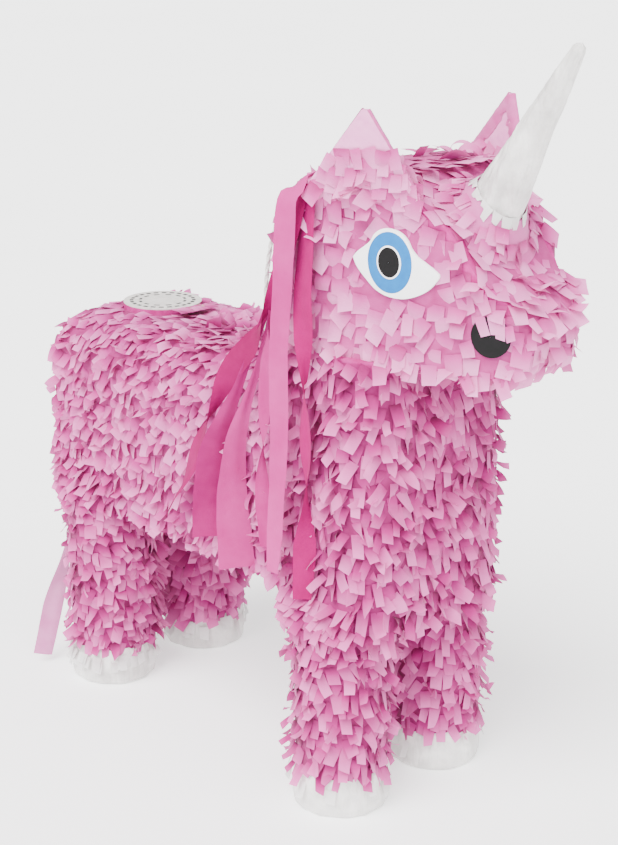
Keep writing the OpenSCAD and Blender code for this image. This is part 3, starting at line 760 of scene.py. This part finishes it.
def add_hoof(name, middle, ragged):
    """A cap of white tissue, folded up round the tube's foot and glued in lumps."""
    rng = random.Random("hoof " + name)
    low, high = box("hoof_" + name)
    radius = (high.x - low.x) / 2
    around = 72
    shift = Vector((rng.uniform(-50, 50), rng.uniform(-50, 50), 0))
    profile = [
        (0.5, 0.6), (14, 0.5), (26, 0.4), (radius - 3, 0.3), (radius - 0.8, 1.4), (radius, 4),
        (radius + 0.4, 9), (radius + 0.2, 14), (radius - 0.2, 19), (radius - 0.6, 24),
        (radius - 1.2, 29), (radius - 2.6, 33),
    ]
    rows = []
    for k, (r, z) in enumerate(profile):
        row = []
        for j in range(around):
            out = spoke(math.tau * j / around)
            swell = 0.0
            if k > 3:
                where, fold = out * 3.2 + UP * (z * 0.11) + shift, out * 9 + UP * (z * 0.05) + shift
                swell = 1.5 * noise.noise(where) + 1.3 * abs(noise.noise(fold)) - 0.4
            rise = 0.8 * noise.noise(out * 5 + shift) if k > 6 else 0
            row.append(Vector((middle.x, middle.y, z + rise)) + out * max(0.3, r + swell))
        rows.append(row)
    paper = Paper()
    paper.grid(rows, [0.9] * len(rows), ring=True)
    for _ in range(34 if ragged else 12):
        out = spoke(rng.uniform(0, math.tau))
        root = Vector((middle.x, middle.y, rng.uniform(22, 31))) + out * (radius + 0.3)
        add_tab(
            paper, rng, root, out, -UP, rng.uniform(5, 9), rng.uniform(7, 13),
            rng.uniform(3, 26), rng.uniform(-20, 20), rng.gauss(0, 14), kind=1,
        )
    paper.piece(f"hoof_{name}_wrap", [WHITE, WHITE_TISSUE], "white_tissue", ["hoof_" + name])


# ---- Head ----

def on_cheek(side, along, z, out=0.0):
    """A point on the flat of a cheek: along it from its rear fold, up, and out from the card."""
    return Vector((
        CHEEK_X + along * math.cos(TAPER) + out * math.sin(TAPER),
        side * (HALF_W - along * math.sin(TAPER) + out * math.cos(TAPER)),
        z,
    ))


def along_cheek(point):
    return (point.x - CHEEK_X) / math.cos(TAPER)


EYE_EDGE = [
    (31.7, 413.6), (35, 417.6), (44, 425), (47, 430), (51.5, 433.6), (57, 434.8), (65, 433.4), (71, 429),
    (74.5, 423), (80, 418), (92, 411), (95, 408), (92, 403), (86, 397), (78, 392.6), (68.5, 390), (58, 390.5),
    (49, 394), (41, 401), (35, 407.5),
]
NOSTRIL_AT, NOSTRIL_R = (131.5, 373.5), 13.5
LIDS = [(-8, 12.5, 0.45, 13), (1.5, 14.5, 0.25, 12.5), (6, 13.5, 0.1, 14), (12, 9, 0.3, 10)]
HORN_ROOT = Vector((NECK_X + 119, 0, JAW_Z + 87))
HORN_AXIS = Vector((math.sin(math.radians(30)), 0, math.cos(math.radians(30))))
HORN_LEN, HORN_R, HORN_TIP_R = 141, 20.5, 4.4
MOUND_R, MOUND_RISE = 37, 14.5
BRIDGE_HALF = 24


def inside(outline, x, y):
    odd = False
    for (ax, ay), (bx, by) in zip(outline, outline[1:] + outline[:1]):
        if (ay > y) != (by > y) and x < (bx - ax) * (y - ay) / (by - ay) + ax:
            odd = not odd
    return odd


def grown(outline, share):
    """The outline scaled about its middle."""
    mx, my = (sum(p[i] for p in outline) / len(outline) for i in (0, 1))
    return [(mx + (x - mx) * share, my + (y - my) * share) for x, y in outline]


EYE_ROOTS, EYE_TIPS = grown(EYE_EDGE, 1.05), grown(EYE_EDGE, 0.97)


def face_room(point, way, length):
    """Tabs keep off the eyes and the horn, and only a few hang over a nostril's upper edge."""
    to_horn = point - HORN_ROOT
    if (to_horn - HORN_AXIS * to_horn.dot(HORN_AXIS)).length < MOUND_R - 5:
        return 0, True
    if abs(point.y) < BRIDGE_HALF:
        return length, False
    a, z = along_cheek(point), point.z
    if inside(EYE_ROOTS, a, z) or math.hypot(a - NOSTRIL_AT[0], z - NOSTRIL_AT[1]) < NOSTRIL_R - 0.5:
        return 0, True
    for share in (1.0, 0.75, 0.5, 0.3):
        tip = point + way * (length * share)
        b, tz = along_cheek(tip), tip.z
        near = math.hypot(b - NOSTRIL_AT[0], tz - NOSTRIL_AT[1])
        lid = z > NOSTRIL_AT[1] + 8 and near > NOSTRIL_R - 6 and tz > NOSTRIL_AT[1] + 4
        if not inside(EYE_TIPS, b, tz) and (near > NOSTRIL_R or lid):
            return length * share, share < 1
    return 0, True


def brow_flow(point, normal):
    """Over the poll the tabs lie back, over the face they lie forwards and down."""
    forward = 1 if point.x > CROWN_LOW.x + 42 else -1
    return Vector((forward, 0.35 * (1 if point.y > 0 else -1) * min(1, abs(point.y) / 30), -0.4))


def cheek_flow(point, normal):
    return Vector((0.18 if along_cheek(point) > 95 else -0.12, 0, -1))


def add_head():
    rng = random.Random("head")
    paper = Paper()
    nose_x, top, dip = MUZZLE_HIGH.x, CROWN_HIGH.z, NECK_X + 78
    for side in SIDES.values():
        ray = straight(Vector((0, -side, 0)), side * 112)
        lay_backing(paper, ray, (NECK_X + 1, nose_x - 1), (JAW_Z + 1, top - 1))
        lay_tabs(
            paper, rng, CHEEK_CUT, ray, (NECK_X + 1, nose_x - 3), (JAW_Z + 4, top + 1), cheek_flow, face_room,
            HEAD_AND_EARS,
        )
        jaw = (NECK_X + 2, CHEST_HIGH.x + 16)
        lay_tabs(paper, rng, CHIN_CUT, ray, jaw, (JAW_Z + 2, JAW_Z + 9), cheek_flow)
    above = straight(-UP, top + 40)
    lay_backing(paper, above, (-66, 66), (NECK_X + 1, nose_x - 1))
    # Tabs over the poll use the second slot, the darker pink copy: painted shade for the dished crown between
    # the ears.
    lay_tabs(paper, rng, BROW_CUT, above, (-62, 62), (NECK_X + 4, dip), brow_flow, face_room, kind=1)
    lay_tabs(paper, rng, BROW_CUT, above, (-62, 62), (dip + 4, nose_x - 4), brow_flow, face_room)
    front = straight(Vector((-1, 0, 0)), nose_x + 40)
    lay_backing(paper, front, (-36, 36), (JAW_Z + 1, MUZZLE_HIGH.z))
    lay_tabs(paper, rng, CHEEK_CUT, front, (-34, 34), (JAW_Z + 4, MUZZLE_HIGH.z - 2), down, face_room)
    nape = straight(Vector((1, 0, 0)), NECK_X - 40)
    lay_backing(paper, nape, (-HALF_W + 1, HALF_W - 1), (TRUNK_HIGH.z + 2, top - 6))
    lay_tabs(paper, rng, BODY_CUT, nape, (-HALF_W + 3, HALF_W - 3), (TRUNK_HIGH.z + 6, top - 8), down)
    below = straight(UP, JAW_Z - 20)
    lay_backing(paper, below, (-56, 56), (CHEST_HIGH.x + 2, nose_x - 2))
    lay_tabs(paper, rng, CHIN_CUT, below, (-54, 54), (CHEST_HIGH.x + 6, nose_x - 4), backward, face_room)
    paper.piece("fringe_head_tabs", [HEAD_PINK, PAINTED_SHADE_PINK], "pink_tissue", ["fringe_head"])


def add_crown_curls():
    """Loose strips that stand up and curl over between the ears."""
    paper = Paper()
    for hand, side in SIDES.items():
        rng = random.Random("curls " + hand)
        for x, y in ((112, 50), (122, 46), (136, 44), (104, 38)):
            spot = cast(Vector((x, side * y, CROWN_HIGH.z + 40)), -UP)
            if spot:
                way = Vector((rng.uniform(-0.5, 0.3), -side * 0.4, 1)).normalized()
                normal = Vector((-0.9, -side * 0.3, -0.2))
                normal = (normal - way * way.dot(normal)).normalized()
                add_tab(
                    paper, rng, spot[0], normal, way, rng.uniform(4.5, 6.5), rng.uniform(26, 34),
                    rng.uniform(-10, 5), rng.uniform(120, 190), rng.gauss(0, 25), steps=10,
                )
    paper.piece("crown_curls", [HEAD_PINK], "pink_tissue")


# ---- Stickers ----

def sticker(paper, side, outline, low, high, kind):
    """A flat shape on a cheek, low to high mm off the card, its rim a little rounded."""
    mx, mz = (sum(p[i] for p in outline) / len(outline) for i in (0, 1))
    rings = [
        (1.0, low), (1.0, high - 0.15), (0.985, high),
        (0.66, high + 0.05), (0.33, high + 0.08), (0.02, high + 0.1),
    ]
    rows = []
    for s, out in rings:
        rows.append([on_cheek(side, mx + (a - mx) * s, mz + (z - mz) * s, out) for a, z in outline])
    if side > 0:
        rows = [row[::-1] for row in rows]
    paper.grid(rows, [1.0] * len(rows), kind=kind, ring=True)


def oval(at, wide, tall, lean=0.0, count=64):
    turn = math.radians(lean)
    ring = []
    for k in range(count):
        x, y = wide * math.cos(math.tau * k / count), tall * math.sin(math.tau * k / count)
        along, rise = x * math.cos(turn) - y * math.sin(turn), x * math.sin(turn) + y * math.cos(turn)
        ring.append((at[0] + along, at[1] + rise))
    return ring


def add_stickers():
    edge = [(p.x, p.y) for p in smooth_line([Vector((a, z, 0)) for a, z in EYE_EDGE + EYE_EDGE[:1]], 97)][:-1]
    for hand, side in SIDES.items():
        eye = Paper()
        sticker(eye, side, edge, 0.3, 3.2, 0)
        sticker(eye, side, oval((59.2, 412.9), 16.0, 20.0, 5), 2.5, 3.55, 1)
        sticker(eye, side, oval((58.8, 413.1), 8.9, 11.0, 5), 2.5, 3.85, 0)
        sticker(eye, side, oval((58.8, 413.1), 7.7, 9.8, 5), 2.5, 4.15, 2)
        eye.piece(f"eye_{hand}_sticker", [EYE_WHITE, EYE_BLUE, EYE_BLACK], "eye_print", ["eye_" + hand])
        nostril = Paper()
        sticker(nostril, side, oval(NOSTRIL_AT, NOSTRIL_R, NOSTRIL_R), 0.3, 2.6, 0)
        lids = random.Random("lids " + hand)
        out = (on_cheek(side, 0, 0, 1) - on_cheek(side, 0, 0, 0)).normalized()
        ahead = (on_cheek(side, 1, 0) - on_cheek(side, 0, 0)).normalized()
        for across, rise, lean, length in LIDS:
            root = on_cheek(side, NOSTRIL_AT[0] + across, NOSTRIL_AT[1] + rise, 2.0)
            way = (ahead * lean - UP).normalized()
            add_tab(
                nostril, lids, root, out, way, lids.uniform(6.5, 8.5), length, 4, -6, lids.gauss(0, 8),
                kind=1,
            )
        nostril.piece(f"nostril_{hand}_sticker", [EYE_BLACK, HEAD_PINK], "black_print", ["nostril_" + hand])


# ---- Horn ----

HORN_SIDE = Vector((0, 1, 0))
HORN_FRONT = HORN_AXIS.cross(HORN_SIDE) * -1


def horn_point(angle, up, r):
    return HORN_ROOT + HORN_AXIS * up + (HORN_SIDE * math.sin(angle) + HORN_FRONT * math.cos(angle)) * r


def add_horn():
    """A cone of glazed tissue rolled round itself: folds that wind a little, and the free edge as a step."""
    around, paper, rows = 96, Paper(), []
    for k in range(61):
        t = k / 60
        up = -6 + (HORN_LEN + 6) * t
        base = HORN_R + (HORN_TIP_R - HORN_R) * max(0, up) / HORN_LEN
        if t > 0.965:
            base *= math.sqrt(max(0.02, 1 - ((t - 0.965) / 0.035) ** 2))
        row = []
        for j in range(around):
            angle = math.tau * j / around
            wind = angle + up * 0.012
            where = Vector((math.cos(wind) * 1.9, math.sin(wind) * 1.9, up * 0.018))
            fine = Vector((math.cos(wind) * 6, math.sin(wind) * 6, up * 0.03 + 7))
            crease = 1 - abs(math.sin(1.5 * wind + 0.8)) ** 0.35
            fold = 0.1 * noise.noise(where) + 0.085 * abs(noise.noise(fine)) - 0.03 - 0.1 * crease
            seam = ((angle - 0.9 - up * 0.006) / math.tau) % 1
            step = 0.9 * (1 - seam) * (1 - 0.6 * t)
            small = 0.55 * noise.noise(horn_point(angle, up, base) * 0.3)
            r = base * (1 + fold) - 0.5 + step * 0.6 + small * (1 - 0.5 * t)
            row.append(horn_point(angle, up, max(0.2, r)))
        rows.append(row)
    paper.grid(rows, [0.9] * len(rows), ring=True)
    paper.piece("horn_paper", [WHITE], "white_tissue", ["horn_cone"])


def brow_height(angle, r):
    """How far up the horn's axis the brow's card is, and where, r mm from the axis."""
    out = HORN_SIDE * math.sin(angle) + HORN_FRONT * math.cos(angle)
    spot = cast(HORN_ROOT + out * r + HORN_AXIS * 60, -HORN_AXIS)
    return (spot[0] - HORN_ROOT).dot(HORN_AXIS) if spot else 0.0


def mound_point(angle, t, lift=0.0):
    """A point on the tissue heaped against the horn: t is 0 at the horn and 1 where it meets the brow."""
    r = HORN_R - 1.5 + (MOUND_R - HORN_R + 1.5) * t
    level = brow_height(angle, r)
    heap = (MOUND_RISE + 1.5 * math.sin(angle * 2 + 1)) * (1 - t) ** 1.7
    rough = 1.1 * noise.noise(Vector((math.cos(angle) * 3, math.sin(angle) * 3, t * 4)))
    out = HORN_SIDE * math.sin(angle) + HORN_FRONT * math.cos(angle)
    return HORN_ROOT + out * r + HORN_AXIS * (level + 1.5 + heap + rough + lift)


def add_skirt():
    """Pink tissue heaped round the horn's foot, and over it the torn ends of the horn's own tissue."""
    rng = random.Random("skirt")
    paper = Paper()
    around = 56
    rows = [[mound_point(math.tau * j / around, k / 7) for j in range(around)] for k in range(8)]
    paper.grid(rows, [0.45] * 8, 0.6, ring=True)
    for _ in range(46):
        angle, t = rng.uniform(0, math.tau), rng.uniform(0.1, 0.75)
        root = mound_point(angle, t, 0.2)
        way = (mound_point(angle, t + 0.2, 0.2) - root).normalized()
        normal = way.cross(mound_point(angle + 0.1, t, 0.2) - root).normalized()
        if normal.dot(HORN_AXIS) < 0:
            normal = -normal
        add_tab(
            paper, rng, root, normal, way, rng.uniform(7, 11), rng.uniform(8, 13), rng.uniform(2, 14),
            rng.gauss(-8, 12), rng.gauss(0, 14),
        )
    for k in range(26):
        angle = math.tau * (k + rng.uniform(-0.6, 0.6)) / 26
        spread, reach = rng.uniform(0.07, 0.26), rng.uniform(0.05, 0.3)
        rows = []
        for t in (0, 0.35, 0.7, 1):
            row = []
            for j in (-1, 0, 1):
                lift = 0.9 + 1.4 * (1 - t) + rng.uniform(-0.2, 0.5)
                row.append(mound_point(angle + spread * j * (1 - 0.5 * t), -0.02 + reach * t, lift))
            rows.append(row)
        paper.grid(rows, [0.95] * 4, rng.random(), kind=1)
    paper.piece("horn_skirt", [HEAD_PINK, WHITE_TISSUE], "white_tissue", ["horn_collar"])


# ---- Ears ----

EAR_SPLAY = math.radians(10)
EAR_FOOT_Z = CROWN_HIGH.z - 22
EAR_EDGE = [(0, 15), (41.8, 65), (45.8, 65), (76, 15)]


def ear_point(side, x, y, out):
    """A point by an ear: along its foot, up it, and out from the middle of its card."""
    level = Vector((math.sin(TAPER), side * math.cos(TAPER), 0))
    rise = UP * math.cos(EAR_SPLAY) + level * math.sin(EAR_SPLAY)
    face = level * math.cos(EAR_SPLAY) - UP * math.sin(EAR_SPLAY)
    foot = Vector((CHEEK_X, side * HALF_W, EAR_FOOT_Z))
    return foot + Vector((math.cos(TAPER), -side * math.sin(TAPER), 0)) * x + rise * y + face * out


def fold_over(paper, side, start, end):
    """Tissue folded over one edge of an ear and glued down, wrinkled, on its inner face."""
    edge = Vector((end[0] - start[0], end[1] - start[1], 0))
    inward = Vector((edge.y, -edge.x, 0)).normalized()
    if inward.x * (38 - start[0]) < 0:
        inward = -inward
    rows, tones = [], []
    for k in range(29):
        t = k / 28
        ripple = 1.5 * noise.noise(Vector((t * 13, side * 3.1, start[0] * 0.1)))
        section = [
            (-0.5, 1.2), (-0.8, 0.0), (-0.6, -1.9), (3.2, -2.9 - ripple), (7.0, -2.3 + 1.6 * ripple),
            (9.5 + 3 * ripple, -1.9),
        ]
        row = []
        for reach, out in section:
            x = start[0] + edge.x * t + inward.x * reach
            y = start[1] + edge.y * t + inward.y * reach
            row.append(ear_point(side, x, y, out + 0.5 * noise.noise(Vector((x * 0.3, y * 0.3, reach)))))
        rows.append(row)
        tones.append(0.45 + 0.3 * noise.noise(Vector((t * 14, side, 0))))
    paper.grid(rows, tones, 0.5)


def add_ear_trim():
    """The ears' folded edges, the fringe that climbs both their faces, and curled strips by their roots."""
    for hand, side in SIDES.items():
        rng = random.Random("ear " + hand)
        paper = Paper()
        fold_over(paper, side, EAR_EDGE[0], EAR_EDGE[1])
        fold_over(paper, side, EAR_EDGE[3], EAR_EDGE[2])
        rise = (ear_point(side, 0, 1, 0) - ear_point(side, 0, 0, 0)).normalized()
        outward = (ear_point(side, 0, 0, 1) - ear_point(side, 0, 0, 0)).normalized()
        for face, heights in ((outward, (10, 18, 26, 34, 40)), (-outward, (12, 20, 28))):
            for y in heights:
                x, right = max(0.0, (y - 15) * 0.836) - 2, 76 - max(0.0, (y - 15) * 0.604) + 1
                while x < right:
                    wide = rng.uniform(8, 13)
                    up = y + rng.uniform(-1.5, 1.5)
                    root = ear_point(side, min(x + wide / 2, right), up, 0) + face * 1.2
                    turn = Quaternion(face, math.radians(rng.gauss(0, 16)))
                    curled = rng.random() < 0.2
                    add_tab(
                        paper, rng, root, face, turn @ -rise, wide, rng.uniform(10, 14),
                        rng.uniform(25, 60) if curled else rng.uniform(2, 12),
                        rng.uniform(-60, 50) if curled else rng.gauss(-2, 12), rng.gauss(0, 12),
                    )
                    x += wide * 0.96
        for k in range(5):
            x = 16 + 13 * k + rng.uniform(-3, 3)
            root = ear_point(side, x, rng.uniform(14, 20), -3)
            add_tab(
                paper, rng, root, -outward, rise, rng.uniform(4, 6), rng.uniform(18, 26), rng.uniform(35, 60),
                rng.uniform(90, 170), rng.gauss(0, 25), steps=8,
            )
        paper.piece(f"ear_{hand}_trim", [HEAD_PINK], "pink_tissue")


# ---- Mane and tail ----

LEAST_WIDTH = 10.5


def add_strip(name, line, face, widths, spins, tissue, replaced, rng, ripple):
    """A hanging strip of tissue along a line.

    face is the way that it faces when flat, spins are (place, degrees) turns, and half a turn pinches it.
    """
    count = len(line)
    paper, rows, tones = Paper(), [], []
    seed = Vector((rng.uniform(-90, 90), rng.uniform(-90, 90), rng.uniform(-90, 90)))
    for i, point in enumerate(line):
        t = i / (count - 1)
        ahead = (line[min(i + 1, count - 1)] - line[max(i - 1, 0)]).normalized()
        side = ahead.cross(face).normalized()
        turn = sum(math.radians(degrees) / (1 + math.exp(-(t - at) * 26)) for at, degrees in spins)
        turn += 0.25 * ripple * noise.noise(seed + Vector((t * 5, 0, 0)))
        pinch = max([0.0] + [math.exp(-((t - at) * 13) ** 2) for at, degrees in spins if abs(degrees) > 90])
        place = t * (len(widths) - 1)
        j = min(int(place), len(widths) - 2)
        width = (widths[j] + (widths[j + 1] - widths[j]) * (place - j)) * (1 - 0.5 * pinch)
        lie = side * math.cos(turn) + face * math.sin(turn)
        out = face * math.cos(turn) - side * math.sin(turn)
        row = []
        for k in range(7):
            u = k / 6 - 0.5
            wave = 0.5 * math.cos(u * 6 + t * 9)
            bow = ripple * (1.1 * noise.noise(seed + Vector((t * 7, u * 2.4, 3))) + wave)
            edge = 0.5 * noise.noise(seed + Vector((t * 22, 9 if u > 0 else -9, 0))) * abs(u) * 2
            row.append(point + lie * (u * width + edge) + out * bow)
        rows.append(row)
        tones.append(0.55 + 0.4 * noise.noise(seed + Vector((t * 6, 5, 5))))
    paper.grid(rows, tones, rng.random())
    material, slot = tissue
    made = paper.piece(name, [material], slot, [replaced])
    area = sum(p.area for p in made.data.polygons) / MM / MM
    length = length_of(line)
    width = max(LEAST_WIDTH, area / length)


MANE_PINK = (MID_PINK, "mid_pink_tissue")
MANE_RED = (MAGENTA, "magenta_tissue")
MANE = [
    (
        "mid", MANE_PINK, 10.0, [12, 14, 14, 13, 13, 13, 13, 13, 14, 9], [(0.08, 40), (0.62, -25)],
        [(72, 462), (75, 456), (73, 448), (71, 414), (69, 380), (67, 345), (66, 310), (66, 274), (64, 236),
         (60, 182)],
    ), (
        "magenta", MANE_RED, 6.8, [10, 12, 15, 17, 18, 17, 17, 19, 16, 3],
        [(0.3, 180), (0.63, 175), (0.86, -60)],
        [(72, 458), (70, 430), (60, 387), (39, 350), (11, 318), (-5, 290), (-20, 264), (-38, 229),
         (-65, 188)],
    ), (
        "panel_rear", MANE_PINK, 4.6, [8, 7, 6, 5, 5, 7, 14, 21, 25, 26], [(0.3, 60)],
        [(70, 458), (66, 425), (56, 385), (40, 353), (16, 305), (2, 280), (-11, 254), (-15, 221), (-16, 185)],
    ), (
        "panel_front", MANE_PINK, 3.4, [8, 7, 6, 5, 5, 8, 15, 21, 25, 27], [(0.34, 60)],
        [(71, 458), (66, 420), (58, 385), (48, 355), (32, 312), (20, 285), (12, 261), (10, 221), (14, 169)],
    ), (
        "curl", MANE_PINK, 5.4, [9, 11, 12, 11, 11, 12, 8], [(0.36, 190), (0.74, -170)],
        [(72, 455), (62, 413), (51, 356), (49, 334), (47, 305), (46, 276), (44, 240), (47, 196)],
    ), (
        "magenta_front", MANE_RED, 1.6, [15, 17, 18, 15, 14, 16, 17, 13], [(0.42, 170), (0.74, -120)],
        [(76, 452), (79, 415), (81, 382), (83, 330), (84, 290), (86, 256), (85, 210), (82, 166)],
    ),
]


def add_gather(hand, side):
    """The bunched tissue at the top of a mane, from which its strips hang."""
    low, high = box("mane_root_" + hand)
    middle = (low + high) / 2
    inner, flat_length = 22, 49
    gather, rows = Paper(), []
    for k in range(17):
        t = k / 16
        row = []
        for j in range(25):
            angle = math.tau * j / 24
            pleat = 2.6 * abs(math.sin(angle * 2.5 + t * 2)) + 0.9 * noise.noise(Vector((angle, t * 4, side)))
            r = (3.4 + pleat) * (1.1 - 0.5 * t)
            row.append(Vector((
                middle.x + 2 + r * math.cos(angle), side * (inner + (HALF_W - 1 - inner) * t),
                middle.z + r * math.sin(angle) - 3 * t,
            )))
        rows.append(row)
    gather.grid(rows, [0.4] * 17, 0.4)
    made = gather.piece("mane_gather_" + hand, [MAGENTA], "magenta_tissue", ["mane_root_" + hand])


def add_mane():
    for hand, side in SIDES.items():
        rng = random.Random("mane " + hand)
        add_gather(hand, side)
        for i, (label, tissue, off, widths, spins, route) in enumerate(MANE):
            points = []
            for k, (x, z) in enumerate(route):
                drift = 0 if side < 0 else rng.uniform(-5, 5) * min(1, k / 3)
                y = side * (HALF_W + 3 + (7.0 + off) * min(1.0, k / 2) + rng.uniform(-0.6, 0.6))
                points.append(Vector((x + drift, y, z)))
            turned = spins if side < 0 else [(at * rng.uniform(0.85, 1.1), -degrees) for at, degrees in spins]
            add_strip(
                f"mane_{label}_{hand}", smooth_line(points, 64), Vector((0, side, 0)), widths, turned, tissue,
                f"mane_ribbon_{hand}_{i + 1}", rng, 0.9,
            )


TAIL = [
    (
        "right", -1, 0.0, [(4, 271), (12, 266), (26, 214), (50, 138), (76, 60), (92, 8)],
        [13, 15, 17, 18, 18, 17], [(0.3, 30), (0.75, -50)],
    ), (
        "left", 1, 0.0, [(4, 271), (12, 266), (24, 210), (44, 140), (64, 70), (78, 14)],
        [12, 15, 17, 17, 18, 15], [(0.4, -60), (0.8, 60)],
    ), (
        "middle", -1, 1.6, [(0, 270), (1, 262), (4, 180), (2, 100), (8, 42)],
        [10, 14, 16, 17, 13], [(0.35, 80), (0.7, -160)],
    ),
]


def add_tail():
    low, high = box("tail_root")
    rng = random.Random("tail")
    tuft = Paper()
    middle, rear = (low + high) / 2, Vector((-1, 0, 0))
    for _ in range(26):
        root = Vector((high.x - 0.5, middle.y + rng.uniform(-9, 9), middle.z + rng.uniform(-3, 6)))
        way = Vector((0, rng.uniform(-0.8, 0.8), -1)).normalized()
        add_tab(
            tuft, rng, root, rear, way, rng.uniform(5, 9), rng.uniform(14, 26), rng.uniform(20, 48),
            rng.uniform(-80, -30), rng.gauss(0, 30), steps=6,
        )
    tuft.piece("tail_tuft", [PALE], "pale_tissue", ["tail_root"])
    for label, side, off, route, widths, spins in TAIL:
        x = low.x - 1.2 - off
        points = [Vector((x + (6 if k == 0 else 0), side * y, z)) for k, (y, z) in enumerate(route)]
        add_strip(
            "tail_" + label, smooth_line(points, 56), rear, widths, spins, (PALE, "pale_tissue"),
            "tail_strip_" + label, rng, 1.1,
        )


# ---- Label ----

def add_label_marks():
    """Two dashed rings printed on the filling label, and nothing else on it."""
    paper = Paper()
    middle = Vector((LABEL_AT.x, LABEL_AT.y, LABEL_HIGH.z + 0.06))
    for radius, count, wide, share in ((LABEL_R - 8, 24, 3.0, 0.6), (LABEL_R - 14.5, 12, 2.2, 0.5)):
        for k in range(count):
            start, sweep = math.tau * k / count, math.tau / count * share
            outs = [spoke(start + sweep * i / 3) for i in range(4)]
            paper.grid([[middle + out * r for r in (radius, radius + wide)] for out in outs], [1.0] * 4)
    paper.piece("fill_label_marks", [LABEL_INK], "label_print", body=FLAP)


# ---- The card parts that stay ----

DEEP_PINK, GLUED_PINK = (0.34, 0.005, 0.13), (0.52, 0.045, 0.27)


def dress_card():
    looks = {"fill_label": LABEL, "flap_hinge_tape": TAPE, "ear_right": EAR_CARD, "ear_left": EAR_CARD}
    trunk_middle = Vector(((RUMP_LOW.x + NECK_X) / 2, 0, (TRUNK_LOW.z + TRUNK_HIGH.z) / 2))
    chest_middle = Vector(((NECK_X + CHEST_HIGH.x) / 2, 0, (CHEST_LOW.z + JAW_Z) / 2))
    head_middle = Vector(((NECK_X + MUZZLE_HIGH.x) / 2 - 10, 0, JAW_Z + 40))
    wraps = [
        ("trunk", ["trunk_wrap", "rump_cap", "belly_panel"], trunk_middle, (1, 1, 1)),
        ("chest", ["chest_wrap", "chest_floor", "neck_back_panel", "chest_lid"], chest_middle, (1, 1, 1)),
        ("head", HEAD_CARD, head_middle, (1, 1, 1)),
        ("flap", ["fill_flap"], LABEL_AT, (1, 1, 0)),
    ]
    for leg in LEG_CARD:
        low, high = box(leg)
        wraps.append((leg, [leg], (low + high) / 2, (1, 1, 0.4)))
    for label, nodes, centre, share in wraps:
        look = wrapped_look("wrapped_" + label, centre, share, DEEP_PINK, GLUED_PINK)
        looks.update(dict.fromkeys(nodes, look))
    for name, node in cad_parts.items():
        node.data.materials.clear()
        node.data.materials.append(looks.get(name, BOARD))


def add_studio():
    half = 60
    corners = [(-half, -half, 0), (half, -half, 0), (half, half, 0), (-half, half, 0)]
    mesh = bpy.data.meshes.new("floor")
    mesh.from_pydata(corners, [], [(0, 1, 2, 3)])
    mesh.materials.append(floor_look())
    floor = bpy.data.objects.new("floor", mesh)
    bpy.context.scene.collection.objects.link(floor)
    world = bpy.data.worlds.new("studio")
    bpy.context.scene.world = world
    world.use_nodes = True
    sky = world.node_tree.nodes["Background"].inputs
    sky["Color"].default_value, sky["Strength"].default_value = (1, 1, 1, 1), 1.15
    suns = (("key", (-0.2, 1.0, -1.3), 45, 8.0), ("fill", (-1.0, 0.1, -0.7), 60, 2.0))
    for name, toward, spread, strength in suns:
        lamp = bpy.data.lights.new(name, "SUN")
        lamp.angle, lamp.energy = math.radians(spread), strength
        made = bpy.data.objects.new(name, lamp)
        bpy.context.scene.collection.objects.link(made)
        made.rotation_mode = "QUATERNION"
        made.rotation_quaternion = Vector(toward).to_track_quat("-Z", "Y")


add_trunk()
add_chest()
add_legs()
add_head()
add_crown_curls()
add_stickers()
add_horn()
add_skirt()
add_ear_trim()
add_mane()
add_tail()
add_label_marks()
dress_card()
add_studio()
